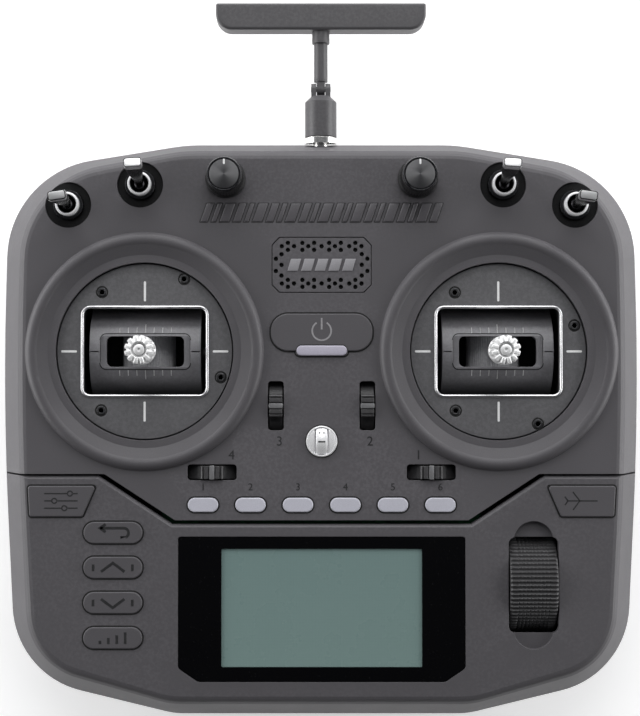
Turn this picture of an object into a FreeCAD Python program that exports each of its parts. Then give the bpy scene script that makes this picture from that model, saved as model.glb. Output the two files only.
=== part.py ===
import FreeCAD, Part
import Sketcher
import math
import os

# A hand-held radio transmitter, lying on its back. +Z leaves the front face, +Y points to the
# antenna, and the origin is on the rear rest plane behind the middle of the case.

Vector = FreeCAD.Vector
doc = FreeCAD.newDocument("RadioTransmitter")

SIZES = (
    ("face_height", 47.5, "front face above the rest plane"),
    ("parting_height", 27.5, "joint between the front and rear shells, the widest section"),
    ("floor_height", 8.0, "rear wall above the rest plane"),
    ("wall", 2.5, "side wall thickness"),
    ("face_wall", 3.2, "face thickness"),
    ("half_width", 117.8, "half width at the parting plane"),
    ("top_edge", 104.7, "top edge at the parting plane"),
    ("bottom_edge", -105.5, "bottom edge at the parting plane"),
    ("gimbal_across", 63.5, "gimbal centre from the middle"),
    ("gimbal_up", 27.4, "gimbal centre along Y"),
    ("gimbal_drop", 19.5, "stick pivot below the face"),
    ("plate_radius", 31.4, "gimbal cover plate radius"),
    ("plate_drop", 1.5, "gimbal cover plate below the face"),
    ("window_across", 43.8, "gimbal window width"),
    ("window_up", 30.8, "gimbal window height"),
    ("yoke_radius", 17.0, "outer drum radius"),
    ("drum_radius", 9.8, "inner drum radius"),
    ("stick_rise", 20.0, "stick end above the face"),
    ("outer_toggle_across", 91.0, "outer toggle from the middle"),
    ("outer_toggle_up", 80.0, "outer toggle along Y"),
    ("inner_toggle_across", 65.2, "inner toggle from the middle"),
    ("inner_toggle_up", 87.3, "inner toggle along Y"),
    ("toggle_length", 26.0, "toggle pivot to tip"),
    ("toggle_lean", 9.0, "toggle throw each way, degrees"),
    ("knob_across", 34.5, "knob from the middle"),
    ("knob_up", 89.4, "knob along Y"),
    ("knob_radius", 7.2, "knob skirt radius"),
    ("travel", 0.8, "button travel"),
    ("key_rise", 0.6, "keys above the face"),
    ("key_depth", 5.0, "keys below the face"),
    ("play", 0.4, "gap around a key"),
    ("light_button_pitch", 16.96, "spacing of the lit buttons"),
    ("light_button_up", -27.5, "lit buttons along Y"),
    ("roller_radius", 19.0, "scroll roller radius"),
    ("roller_width", 17.0, "scroll roller width"),
    ("roller_across", 75.7, "scroll roller from the middle"),
    ("roller_up", -56.1, "scroll roller along Y"),
    ("bar_length", 77.9, "antenna cross bar length"),
    ("mast_radius", 2.5, "antenna mast radius"),
    ("cell_radius", 9.1, "battery cell radius"),
    ("cell_length", 65.0, "battery cell length"),
)

sheet = doc.addObject("Spreadsheet::Sheet", "Sizes")
SIZE = {}
for row, (alias, value, meaning) in enumerate(SIZES, start=1):
    sheet.set(f"A{row}", meaning)
    sheet.set(f"B{row}", str(value))
    sheet.setAlias(f"B{row}", alias)
    SIZE[alias] = value
doc.recompute()

FACE = SIZE["face_height"]
PARTING = SIZE["parting_height"]
FLOOR = SIZE["floor_height"]
WALL = SIZE["wall"]
PLAY = SIZE["play"]
GIMBAL_X = SIZE["gimbal_across"]
GIMBAL_Y = SIZE["gimbal_up"]
ANTENNA_Z = PARTING
NODES = []


# --- outlines -----------------------------------------------------------------------------------

def rounded(corners):
    """Closed outline through (x, y, radius) corners, each rounded by a tangent arc."""
    ends = []
    for index, (x, y, radius) in enumerate(corners):
        here = Vector(x, y, 0)
        before = Vector(*corners[index - 1][:2], 0)
        after = Vector(*corners[(index + 1) % len(corners)][:2], 0)
        back = (before - here).normalize()
        ahead = (after - here).normalize()
        half = back.getAngle(ahead) / 2
        if radius == 0:
            ends.append((here, None, here))
            continue
        reach = radius / math.tan(half)
        middle = (back + ahead).normalize() * (radius / math.sin(half) - radius)
        ends.append((here + back * reach, here + middle, here + ahead * reach))
    edges = []
    for index, (start, middle, end) in enumerate(ends):
        if middle is not None:
            edges.append(Part.Arc(start, middle, end))
        following = ends[(index + 1) % len(ends)][0]
        if end.distanceToPoint(following) > 0.001:
            edges.append(Part.LineSegment(end, following))
    return edges


def both_sides(corners):
    """Corners of the right half, top to bottom, followed by their mirror images."""
    return corners + [(-x, y, radius) for x, y, radius in reversed(corners)]


def plan(edges, grow):
    """The case's outline seen from the front, grown outwards all round."""
    side, top, bottom, shoulder, hip = edges
    side, top, bottom = side + grow, top + grow, bottom - grow
    return rounded(both_sides([
        (50, top, 60),
        (side - 2, top - 10.6, shoulder + grow),
        (side, 9, 1100),
        (side - 5.2, bottom + 14.2, hip + grow),
        (54, bottom, 28),
    ]))


def box_outline(x, y, width, length, radius):
    right, left = x + width / 2, x - width / 2
    top, bottom = y + length / 2, y - length / 2
    corners = [(right, top, radius), (right, bottom, radius), (left, bottom, radius), (left, top, radius)]
    return rounded(corners)


def circle(x, y, radius):
    return [Part.Circle(Vector(x, y, 0), Vector(0, 0, 1), radius)]


def mirrored(outline_maker, x, *rest):
    """The same outline at +x and -x."""
    return outline_maker(x, *rest) + outline_maker(-x, *rest)


# --- bodies and features --------------------------------------------------------------------------

def new_body(label):
    body = doc.addObject("PartDesign::Body", label)
    body.Label = label
    NODES.append(body)
    return body


def origin_plane(body, role):
    return next(item for item in body.Origin.OriginFeatures if item.Role == role)


def new_sketch(body, geometry, level, plane="XY_Plane", shift=(0, 0)):
    """A sketch parallel to an origin plane. The level is an expression along the plane's normal."""
    sketch = body.newObject("Sketcher::SketchObject", body.Label + "_sketch")
    sketch.AttachmentSupport = [(origin_plane(body, plane), "")]
    sketch.MapMode = "FlatFace"
    sketch.AttachmentOffset = FreeCAD.Placement(Vector(shift[0], shift[1], 0), FreeCAD.Rotation())
    sketch.setExpression("AttachmentOffset.Base.z", level)
    for edge in geometry:
        sketch.addGeometry(edge)
    return sketch


def pad(body, geometry, level, height, plane="XY_Plane", shift=(0, 0), symmetric=False):
    feature = body.newObject("PartDesign::Pad", body.Label + "_pad")
    feature.Profile = new_sketch(body, geometry, level, plane, shift)
    feature.Midplane = symmetric
    feature.setExpression("Length", height)
    return feature


def pocket(body, geometry, level, depth, plane="XY_Plane", shift=(0, 0), upward=False):
    """Cuts against the plane's normal, or along it when upward; a cut that removes nothing is an error."""
    doc.recompute()
    volume = body.Shape.Volume
    feature = body.newObject("PartDesign::Pocket", body.Label + "_pocket")
    feature.Profile = new_sketch(body, geometry, level, plane, shift)
    feature.Reversed = upward
    feature.setExpression("Length", depth)
    doc.recompute()
    if body.Shape.Volume > volume - 0.01:
        raise RuntimeError(f"{body.Label}: a pocket removes nothing")
    return feature


def loft(body, sections, kind="AdditiveLoft"):
    """A ruled solid through (outline, level) sections."""
    sketches = [new_sketch(body, outline, level) for outline, level in sections]
    feature = body.newObject("PartDesign::" + kind, body.Label + "_loft")
    feature.Profile = sketches[0]
    feature.Sections = sketches[1:]
    feature.Ruled = True
    return feature


def revolve(body, geometry, plane, level, shift, axis):
    sketch = new_sketch(body, geometry, level, plane, shift)
    feature = body.newObject("PartDesign::Revolution", body.Label + "_revolution")
    feature.Profile = sketch
    feature.ReferenceAxis = (sketch, [axis])
    feature.Angle = 360
    return feature


def turned(label, profile):
    """A round piece about +Z from (radius, height) corners."""
    body = new_body(label)
    points = [Vector(radius, height, 0) for radius, height in profile]
    edges = [Part.LineSegment(points[index - 1], points[index]) for index in range(len(points))]
    revolve(body, edges, "XZ_Plane", "0", (0, 0), "V_Axis")
    return body


def mirror(body, features):
    feature = body.newObject("PartDesign::Mirrored", body.Label + "_mirror")
    feature.Originals = features
    feature.MirrorPlane = (origin_plane(body, "YZ_Plane"), [""])
    body.Tip = feature
    return feature


def at_height(level):
    return lambda edge: abs(edge.BoundBox.ZMin - level) < 0.01 and abs(edge.BoundBox.ZMax - level) < 0.01


def round_edges(body, radius, chosen, kind="Fillet"):
    """Fillets or chamfers the edges of the body's last feature that chosen(edge) picks."""
    doc.recompute()
    base = body.Tip
    names = [f"Edge{number}" for number, edge in enumerate(base.Shape.Edges, start=1) if chosen(edge)]
    feature = body.newObject("PartDesign::" + kind, body.Label + "_edges")
    feature.Base = (base, names)
    setattr(feature, "Radius" if kind == "Fillet" else "Size", radius)
    return feature


def place(body, x="0", y="0", z="0", rotation=None):
    if rotation is not None:
        body.Placement = FreeCAD.Placement(Vector(), rotation)
    body.setExpression("Placement.Base.x", x)
    body.setExpression("Placement.Base.y", y)
    body.setExpression("Placement.Base.z", z)


def sided(side, alias):
    """An expression for a size on the right (+1) or left (-1) side."""
    return f"{side} * Sizes.{alias}"


SIDES = (("left", -1), ("right", 1))

# --- openings in the face -------------------------------------------------------------------------

FACE_TOP = "Sizes.face_height + 5"
THROUGH = "Sizes.face_wall + 12"
TOGGLES = (
    ("outer", SIZE["outer_toggle_across"], SIZE["outer_toggle_up"], 8.0),
    ("inner", SIZE["inner_toggle_across"], SIZE["inner_toggle_up"], 4.0),
)
UPRIGHT_TRIM = (16.4, 7.9)
LEVEL_TRIM = (39.2, -15.9)
TRIM_SLOT = (17.6, 5.7)
BUTTON_X = [SIZE["light_button_pitch"] * (index - 2.5) for index in range(6)]
BUTTON_Y = SIZE["light_button_up"]
BUTTON_SIZE = (10.8, 5.1)
OBLONG_X = -74.5
OBLONG_KEYS = (
    ("return_key", -37.4),
    ("page_up_key", -49.8),
    ("page_down_key", -62.3),
    ("telemetry_key", -74.8),
)
OBLONG_SIZE = (21.0, 7.7)
ROLLER_X = SIZE["roller_across"]
ROLLER_Y = SIZE["roller_up"]
LUG_Y = -4.8
GRILLE_Y = 58.4
GRILLE_PATTERN = (
    (7.9, (2.7, 6.9, 12.1)),
    (6.7, (0, 4.8, 9.9, 14.3)),
    (5.4, (2.7, 6.9, 12.1)),
    (3.85, (14.4,)),
    (2.2, (16.4,)),
    (0, (14.4,)),
)


def power_outline(grow):
    """A wide rounded key with a shallower rounded lip for the lamp at its lower edge."""
    key_x, top, bottom = 18.2 + grow, 40.9 + grow, 27.5 - grow
    lip_x, lip_bottom = 9.3 + grow, 25.7 - grow
    return rounded(both_sides([
        (key_x, top, 6.2 + grow),
        (key_x, bottom, 6.2 + grow),
        (lip_x, bottom, 0),
        (lip_x, lip_bottom, 1.5),
    ]))


def trapezoid_key(side, grow):
    corners = [(105.0, -20.7), (80.7, -20.7), (85.5, -31.7), (104.4, -31.7)]
    spread = [(grow, grow), (-1.6 * grow, grow), (-1.3 * grow, -grow), (grow, -grow)]
    return rounded([
        (side * (x + out), y + up, 1.0) for (x, y), (out, up) in zip(corners, spread)
    ])


def window_outline(grow):
    return rounded(both_sides([
        (51.1 + grow, -39.0 + grow, 1.0),
        (51.1 + grow, -85.5 - grow / 2, 2.0),
        (44.0 + grow / 2, -90.3 - grow, 2.0),
    ]))


def panel_line(groove):
    """The step between the front case and the lower panel, moved down by a groove widest on its slope."""
    outer_x, outer_y = 77.7 + 1.4 * groove, -16.5 - 0.4 * groove
    inner_x, inner_y = 52.4 + 0.7 * groove, -33.0 - 0.9 * groove
    return [(130, outer_y), (outer_x, outer_y), (inner_x, inner_y),
            (-inner_x, inner_y), (-outer_x, outer_y), (-130, outer_y)]


GROOVE = 1.5
PANEL_CHAMFER = 1.1
PARTING_EDGES = (SIZE["half_width"], SIZE["top_edge"], SIZE["bottom_edge"], 37, 33)
FACE_EDGES = (SIZE["half_width"] - 9.0, SIZE["top_edge"] - 6.1, SIZE["bottom_edge"] + 8.0, 34, 24)
REAR_EDGES = (SIZE["half_width"] - 10.0, SIZE["top_edge"] - 9.0, SIZE["bottom_edge"] + 9.0, 30, 26)
ROUNDING = ((2.4, 1.2), (0.9, 0.1), (0.25, -0.8), (0.0, -1.9))


def front_shell(label):
    """The bevelled front shell, hollow from behind, before any opening is cut."""
    body = new_body(label)
    sections = [(plan(PARTING_EDGES, 0), "Sizes.parting_height")]
    for drop, grow in ROUNDING:
        sections.append((plan(FACE_EDGES, grow), f"Sizes.face_height - {drop}"))
    loft(body, sections)
    doc.recompute()
    loft(body, [(plan(PARTING_EDGES, -WALL), "Sizes.parting_height"),
                (plan(FACE_EDGES, -1.4), "Sizes.face_height - Sizes.face_wall")], "SubtractiveLoft")
    return body


# --- front case -----------------------------------------------------------------------------------

front_case = front_shell("front_case")
RING_INNER, RING_OUTER = 31.9, 42.8
ring_profile = [
    Part.LineSegment(Vector(RING_INNER, FACE - 3.2, 0), Vector(RING_INNER, FACE - 1.1, 0)),
    Part.LineSegment(Vector(RING_INNER, FACE - 1.1, 0), Vector(38.4, FACE + 1.5, 0)),
    Part.Arc(Vector(38.4, FACE + 1.5, 0), Vector(40.0, FACE + 2.1, 0), Vector(RING_OUTER, FACE - 0.2, 0)),
    Part.LineSegment(Vector(RING_OUTER, FACE - 0.2, 0), Vector(RING_OUTER, FACE - 3.2, 0)),
    Part.LineSegment(Vector(RING_OUTER, FACE - 3.2, 0), Vector(RING_INNER, FACE - 3.2, 0)),
]
ring = revolve(front_case, ring_profile, "XZ_Plane", "-Sizes.gimbal_up", (GIMBAL_X, 0), "V_Axis")
mirror(front_case, [ring])
pocket(front_case, mirrored(circle, GIMBAL_X, GIMBAL_Y, RING_INNER), FACE_TOP, THROUGH)
cup_recesses = []
toggle_holes = []
for _, across, up, _ in TOGGLES:
    cup_recesses += mirrored(circle, across, up, 8.25)
    toggle_holes += mirrored(circle, across, up, 4.6)
knob_holes = mirrored(circle, SIZE["knob_across"], SIZE["knob_up"], 3.4)
pocket(front_case, cup_recesses, FACE_TOP, "5 + 2.0")
pocket(front_case, circle(0, LUG_Y, 5.95), FACE_TOP, "5 + 1.3")
grille_corner = both_sides([(15.2, GRILLE_Y + 10.05, 0.5), (17.95, GRILLE_Y + 7.2, 0.5),
                            (17.95, GRILLE_Y - 7.2, 0.5), (15.2, GRILLE_Y - 10.05, 0.5)])
pocket(front_case, rounded(grille_corner), FACE_TOP, "5 + 1.5")
pocket(front_case, toggle_holes + knob_holes + box_outline(0, GRILLE_Y, 33.6, 16.4, 1.0)
       + power_outline(PLAY), FACE_TOP, THROUGH)
trim_slots = mirrored(box_outline, UPRIGHT_TRIM[0], UPRIGHT_TRIM[1], TRIM_SLOT[1], TRIM_SLOT[0], 1.2)
trim_slots += mirrored(box_outline, LEVEL_TRIM[0], LEVEL_TRIM[1], TRIM_SLOT[0], TRIM_SLOT[1], 1.2)
pocket(front_case, trim_slots, FACE_TOP, THROUGH)
button_holes = []
for x in BUTTON_X:
    button_holes += box_outline(x, BUTTON_Y, BUTTON_SIZE[0] + 2 * PLAY, BUTTON_SIZE[1] + 2 * PLAY, 2.7)
pocket(front_case, button_holes, FACE_TOP, THROUGH)
below_line = [(x, y, 0) for x, y in panel_line(0)] + [(-130, -130, 0), (130, -130, 0)]
pocket(front_case, rounded(below_line), "Sizes.face_height + 5", "60")
pocket(front_case, circle(0, ANTENNA_Z, 3.2), "-112", "20", "XZ_Plane", upward=True)
place(front_case)

# --- lower panel ----------------------------------------------------------------------------------

lower_panel = front_shell("lower_panel")
above_line = [(x, y, 0) for x, y in panel_line(GROOVE)] + [(-130, 130, 0), (130, 130, 0)]
pocket(lower_panel, rounded(above_line), "Sizes.face_height + 5", "60")
round_edges(lower_panel, PANEL_CHAMFER,
            lambda edge: at_height(FACE)(edge) and edge.BoundBox.YMin > -36, "Chamfer")
pocket(lower_panel, window_outline(0.2), FACE_TOP, "5 + 1.6")
key_holes = box_outline(0, -64.2, 76.4, 45.2, 1.0) + trapezoid_key(-1, PLAY) + trapezoid_key(1, PLAY)
for name, up in OBLONG_KEYS:
    key_holes += box_outline(OBLONG_X, up, OBLONG_SIZE[0] + 2 * PLAY, OBLONG_SIZE[1] + 2 * PLAY, 4.1)
key_holes += box_outline(ROLLER_X, ROLLER_Y, SIZE["roller_width"] + 1.0, 34.2, 2.5)
pocket(lower_panel, key_holes, FACE_TOP, THROUGH)
for end in (-1, 1):
    pocket(lower_panel, circle(ROLLER_X, ROLLER_Y + end * 15.6, 7.2), FACE_TOP, "5 + 1.8")
place(lower_panel)

# --- rear case ------------------------------------------------------------------------------------

BAY = (0, 57, 60, 60)
SPINE = (0, 43.5, 74, 99)
DOOR = (0, -50, 80, 60)
TRAY = (0, -51.5, 70, 40)
SCREW_PLACES = [(side * 50, y) for side in (-1, 1) for y in (80, 0, -84)]
JACK_X = 22
JACK_Z = 17.5
SHOULDER_X = 84
SHOULDER_Z = 17.0

rear_case = new_body("rear_case")
rear_sections = [(plan(REAR_EDGES, -3.2), "Sizes.floor_height"),
                 (plan(REAR_EDGES, -1.2), "Sizes.floor_height + 0.5"),
                 (plan(REAR_EDGES, 0.2), "Sizes.floor_height + 1.7"),
                 (plan(REAR_EDGES, 1.6), "Sizes.floor_height + 4.2"),
                 (plan(PARTING_EDGES, 0), "Sizes.parting_height")]
loft(rear_case, rear_sections)


def grip_foot(side):
    return rounded([(side * 64, 14, 10), (side * 98, 14, 12), (side * 97, -74, 13), (side * 66, -80, 11)])


def grip_root(side):
    return rounded([(side * 55, 26, 14), (side * 107, 26, 16), (side * 104, -80, 20), (side * 57, -90, 18)])


for side in (-1, 1):
    loft(rear_case, [(grip_foot(side), "1.5"), (grip_root(side), "Sizes.floor_height + 4")])
doc.recompute()
loft(rear_case, [(plan(REAR_EDGES, -WALL - 1), "Sizes.floor_height + Sizes.wall"),
                 (plan(PARTING_EDGES, -WALL), "Sizes.parting_height")], "SubtractiveLoft")
pocket(rear_case, box_outline(-81, -31, 26, 76, 8) + box_outline(81, -31, 26, 76, 8), "20", "20 - 4")
pad(rear_case, box_outline(*SPINE, 6), "0", "22")
pad(rear_case, box_outline(*DOOR[:2], DOOR[2] + 8, DOOR[3] + 4, 4), "Sizes.floor_height", "5")
pad(rear_case, box_outline(*TRAY[:2], TRAY[2] + 5, TRAY[3] + 5, 3), "Sizes.floor_height", "19")
pocket(rear_case, box_outline(0, 10.5, 68, 28, 3), "22.5", "20")
pocket(rear_case, box_outline(*BAY, 3), "-1", "1 + 20", upward=True)
pocket(rear_case, box_outline(*BAY[:2], BAY[2] + 5.6, BAY[3] + 5.6, 3), "-1", "1 + 2.9", upward=True)
pocket(rear_case, box_outline(*TRAY, 2), "-1", "40", upward=True)
pocket(rear_case, box_outline(*DOOR[:2], DOOR[2] + 0.8, DOOR[3] + 0.8, 2), "0", "Sizes.floor_height + 2.4",
       upward=True)
screw_heads = []
screw_holes = []
for x, y in SCREW_PLACES:
    screw_heads += circle(x, y, 2.9)
    screw_holes += circle(x, y, 1.55)
pocket(rear_case, screw_heads, "0", "Sizes.floor_height + 1.0", upward=True)
pocket(rear_case, screw_holes, "0", "Sizes.floor_height + 8", upward=True)
pocket(rear_case, circle(0, ANTENNA_Z, 3.2), "-112", "20", "XZ_Plane", upward=True)
pocket(rear_case, mirrored(circle, SHOULDER_X, SHOULDER_Z, 5.1), "-112", "26", "XZ_Plane", upward=True)
pocket(rear_case, mirrored(circle, JACK_X, JACK_Z, 3.7) + box_outline(0, JACK_Z, 9.6, 3.9, 1.9),
       "112", "22", "XZ_Plane")
place(rear_case)

# --- pieces fixed to the shells -------------------------------------------------------------------

def grip_outline(side):
    return rounded([(side * 95, 11, 9), (side * 94, -71, 10), (side * 69, -76.5, 8), (side * 67, 11, 7)])


side_grips = new_body("side_grips")
pad(side_grips, grip_outline(-1) + grip_outline(1), "0", "1.5")
place(side_grips)

case_screws = new_body("case_screws")
shanks, heads = [], []
for x, y in SCREW_PLACES:
    shanks += circle(x, y, 1.45)
    heads += circle(x, y, 2.7)
pad(case_screws, heads, "Sizes.floor_height - 0.9", "1.9")
pad(case_screws, shanks, "Sizes.floor_height - 0.9", "10")
place(case_screws)

screen_window = new_body("screen_window")
pad(screen_window, window_outline(0) + box_outline(0, -64.2, 71.8, 42.2, 0.5),
    "Sizes.face_height - 1.6", "1.6")
place(screen_window)

lcd_module = new_body("lcd_module")
pad(lcd_module, box_outline(0, -64.2, 75.8, 44.6, 0.6), "Sizes.face_height - 6", "4.2")
pad(lcd_module, box_outline(0, -64.2, 71.6, 42.0, 0.4), "Sizes.face_height - 6", "5.5")
place(lcd_module)

speaker_grille = new_body("speaker_grille")
grille_plate = both_sides([(15.0, GRILLE_Y + 9.75, 0.5), (17.65, GRILLE_Y + 7.1, 0.5),
                           (17.65, GRILLE_Y - 7.1, 0.5), (15.0, GRILLE_Y - 9.75, 0.5)])
pad(speaker_grille, rounded(grille_plate), "Sizes.face_height - 1.5", "1.4")
grille_holes = []
for row, columns in GRILLE_PATTERN:
    for y in {GRILLE_Y + row, GRILLE_Y - row}:
        for x in columns:
            for across in {x, -x}:
                grille_holes += circle(across, y, 0.8)
pocket(speaker_grille, grille_holes, FACE_TOP, "10")
place(speaker_grille)

speaker = turned("speaker", ((0, 0), (8, 0), (8, 3), (13.5, 5), (13.5, 6.5), (0, 6.5)))
place(speaker, "0", str(GRILLE_Y), "Sizes.face_height - Sizes.face_wall - 7")

strap_lug = turned("strap_lug", ((0, 0), (5.75, 0), (5.75, 1.6), (5.0, 2.3), (0, 2.3)))
slots = box_outline(-2.75, 0, 2.3, 7.0, 1.1) + box_outline(2.75, 0, 2.3, 7.0, 1.1)
pocket(strap_lug, slots, "3", "2.2")
pad(strap_lug, box_outline(0, 0, 2.6, 6.6, 1.0), "1", "2.2")
place(strap_lug, "0", str(LUG_Y), "Sizes.face_height - 1.3")

main_board = new_body("main_board")
pad(main_board, box_outline(0, -56, 116, 64, 2), "36", "1.6")
pad(main_board, box_outline(-30, -50, 22, 22, 0.5) + box_outline(14, -46, 14, 10, 0.5)
    + box_outline(34, -66, 10, 18, 0.5), "34.4", "1.6")
place(main_board)

battery_cells = new_body("battery_cells")
for y in (-42.2, -60.8):
    pad(battery_cells, circle(y, 20.0, SIZE["cell_radius"]), "0", "Sizes.cell_length", "YZ_Plane",
        symmetric=True)
place(battery_cells)

port_connectors = new_body("port_connectors")
for x in (-JACK_X, JACK_X):
    pad(port_connectors, circle(x, JACK_Z, 3.5) + circle(x, JACK_Z, 1.8), "88", "13.5", "XZ_Plane")
    pad(port_connectors, box_outline(x, JACK_Z, 8.6, 8.6, 1) + circle(x, JACK_Z, 1.8), "84", "7",
        "XZ_Plane")
pad(port_connectors, box_outline(0, JACK_Z, 9.2, 3.5, 1.7) + box_outline(0, JACK_Z, 8.6, 2.9, 1.4),
    "91", "10.5", "XZ_Plane")
place(port_connectors)

battery_door = new_body("battery_door")
pad(battery_door, box_outline(*DOOR[:2], *DOOR[2:], 1.8), "Sizes.floor_height + 0.2", "2.0")
finger_ridges = []
for row in range(5):
    finger_ridges += box_outline(0, -74 + row * 2.4, 22, 1.2, 0.5)
pocket(battery_door, finger_ridges, "Sizes.floor_height - 1", "1.2 + 0.5", upward=True)
place(battery_door)

module_bay_cover = new_body("module_bay_cover")
pad(module_bay_cover, box_outline(*BAY[:2], BAY[2] + 5, BAY[3] + 5, 2.7), "0.4", "2.2")
cover_ribs = []
for row in range(9):
    cover_ribs += box_outline(0, 37 + row * 5, 44, 1.6, 0.7)
pocket(module_bay_cover, cover_ribs, "-1", "1.4 + 0.6", upward=True)
place(module_bay_cover)

# --- gimbals --------------------------------------------------------------------------------------

PLATE_TOP = FACE - SIZE["plate_drop"]
PIVOT_Z = FACE - SIZE["gimbal_drop"]
PLATE_SCREWS = ((-15.4, 21.3, 2.1), (-15.6, -21.2, 2.1), (14.1, 26.0, 2.1), (27.3, -9.3, 2.1))

gimbal_plates = new_body("gimbal_plates")
discs, windows, screw_seats = [], [], []
for side in (-1, 1):
    discs += circle(side * GIMBAL_X, GIMBAL_Y, SIZE["plate_radius"])
    windows += box_outline(side * GIMBAL_X, GIMBAL_Y, SIZE["window_across"], SIZE["window_up"], 1.5)
    for x, y, radius in PLATE_SCREWS:
        screw_seats += circle(side * GIMBAL_X + x, GIMBAL_Y - side * y, radius + 0.15)
pad(gimbal_plates, discs, "Sizes.face_height - Sizes.plate_drop - 2.2", "2.2")
pocket(gimbal_plates, windows + screw_seats, FACE_TOP, THROUGH)
place(gimbal_plates)

gimbal_bezels = new_body("gimbal_bezels")
frames = []
for side in (-1, 1):
    centre = (side * GIMBAL_X, GIMBAL_Y)
    frames += box_outline(*centre, SIZE["window_across"] + 2.3, SIZE["window_up"] + 2.3, 2.6)
    frames += box_outline(*centre, SIZE["window_across"], SIZE["window_up"], 1.5)
pad(gimbal_bezels, frames, "Sizes.face_height - Sizes.plate_drop", "0.7")
place(gimbal_bezels)

gimbal_screws = new_body("gimbal_screws")
heads = []
for side in (-1, 1):
    for x, y, radius in PLATE_SCREWS:
        heads += circle(side * GIMBAL_X + x, GIMBAL_Y - side * y, radius)
pad(gimbal_screws, heads, "Sizes.face_height - Sizes.plate_drop - 2.0", "2.3")
place(gimbal_screws)

gimbal_housings = new_body("gimbal_housings")
blocks, cavities = [], []
for side in (-1, 1):
    blocks += box_outline(side * GIMBAL_X, GIMBAL_Y, 50, 43, 3)
    cavities += box_outline(side * GIMBAL_X, GIMBAL_Y, 44.2, 38.6, 1.5)
pad(gimbal_housings, blocks, "13", "Sizes.face_height - Sizes.plate_drop - 2.3 - 13")
pocket(gimbal_housings, cavities, "Sizes.face_height", "Sizes.face_height - 15")
pocket(gimbal_housings, circle(GIMBAL_Y, PIVOT_Z, 2.05), "-95", "190", "YZ_Plane", upward=True)
place(gimbal_housings)

YOKE_OUTER, YOKE_INNER = SIZE["yoke_radius"], SIZE["yoke_radius"] - 2.4
YOKE_SKIRT = -4.0
TIP_TEETH = 12


def half_drum(radius):
    """The top half of a drum's end, from its right foot to its left foot."""
    return Part.Arc(Vector(radius, 0, 0), Vector(0, radius, 0), Vector(-radius, 0, 0))


def upright_edge(x, start, end):
    return Part.LineSegment(Vector(x, start, 0), Vector(x, end, 0))


for name, side in SIDES:
    yoke = new_body(name + "_gimbal_yoke")
    cheek = [half_drum(YOKE_OUTER), upright_edge(-YOKE_OUTER, 0, YOKE_SKIRT),
             Part.LineSegment(Vector(-YOKE_OUTER, YOKE_SKIRT, 0), Vector(YOKE_OUTER, YOKE_SKIRT, 0)),
             upright_edge(YOKE_OUTER, YOKE_SKIRT, 0)]
    arch = [half_drum(YOKE_OUTER), upright_edge(-YOKE_OUTER, 0, YOKE_SKIRT),
            Part.LineSegment(Vector(-YOKE_OUTER, YOKE_SKIRT, 0), Vector(-YOKE_INNER, YOKE_SKIRT, 0)),
            upright_edge(-YOKE_INNER, YOKE_SKIRT, 0), half_drum(YOKE_INNER),
            upright_edge(YOKE_INNER, 0, YOKE_SKIRT),
            Part.LineSegment(Vector(YOKE_INNER, YOKE_SKIRT, 0), Vector(YOKE_OUTER, YOKE_SKIRT, 0)),
            upright_edge(YOKE_OUTER, YOKE_SKIRT, 0)]
    pad(yoke, arch, "0", "40", "YZ_Plane", symmetric=True)
    pad(yoke, cheek, "18", "2", "YZ_Plane")
    pad(yoke, cheek, "-20", "2", "YZ_Plane")
    pad(yoke, circle(0, 0, 2.0), "19", "4.5", "YZ_Plane")
    pad(yoke, circle(0, 0, 2.0), "-23.5", "4.5", "YZ_Plane")
    pocket(yoke, box_outline(0, 0, 32.5, 12.6, 3.0), "Sizes.yoke_radius + 1", "2.0")
    pocket(yoke, box_outline(0, 0, 28.0, 11.0, 2.0), "Sizes.yoke_radius + 1", "8")
    pocket(yoke, circle(0, 0, 1.55), "-25", "50", "XZ_Plane", upward=True)
    place(yoke, sided(side, "gimbal_across"), "Sizes.gimbal_up", "Sizes.face_height - Sizes.gimbal_drop")

    stick = new_body(name + "_stick")
    pad(stick, circle(0, 0, SIZE["drum_radius"]), "0", "18.4", "XZ_Plane", symmetric=True)
    pad(stick, circle(0, 0, 1.5), "0", "33", "XZ_Plane", symmetric=True)
    pad(stick, circle(0, 0, 3.0), "0", "Sizes.gimbal_drop + Sizes.stick_rise - 10.5")
    pad(stick, circle(0, 0, 1.9), "0", "Sizes.gimbal_drop + Sizes.stick_rise - 1.6")
    place(stick, sided(side, "gimbal_across"), "Sizes.gimbal_up", "Sizes.face_height - Sizes.gimbal_drop")

    stick_tip = new_body(name + "_stick_tip")
    teeth = []
    for index in range(TIP_TEETH):
        angle = 2 * math.pi * index / TIP_TEETH
        teeth += circle(5.55 * math.cos(angle), 5.55 * math.sin(angle), 0.75)
    pad(stick_tip, circle(0, 0, 5.2) + circle(0, 0, 1.95), "Sizes.stick_rise - 10.5", "10.5")
    pocket(stick_tip, teeth, "Sizes.stick_rise + 1", "8")
    place(stick_tip, sided(side, "gimbal_across"), "Sizes.gimbal_up", "Sizes.face_height")

# --- toggles and knobs ----------------------------------------------------------------------------

switch_bushings = new_body("switch_bushings")
switch_cups = new_body("switch_cups")
bodies_below, bushing_rings, cup_rings = [], [], []
for _, across, up, _ in TOGGLES:
    bodies_below += mirrored(circle, across, up, 5.4)
    bushing_rings += mirrored(circle, across, up, 4.25) + mirrored(circle, across, up, 3.3)
    cup_rings += mirrored(circle, across, up, 8.1) + mirrored(circle, across, up, 4.4)
pad(switch_bushings, bodies_below, "Sizes.face_height - Sizes.face_wall - 9", "9")
pad(switch_bushings, bushing_rings, "Sizes.face_height - Sizes.face_wall - 0.5", "Sizes.face_wall + 4.5")
place(switch_bushings)
pad(switch_cups, cup_rings, "Sizes.face_height - 2.0", "0.8")
place(switch_cups)

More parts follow.
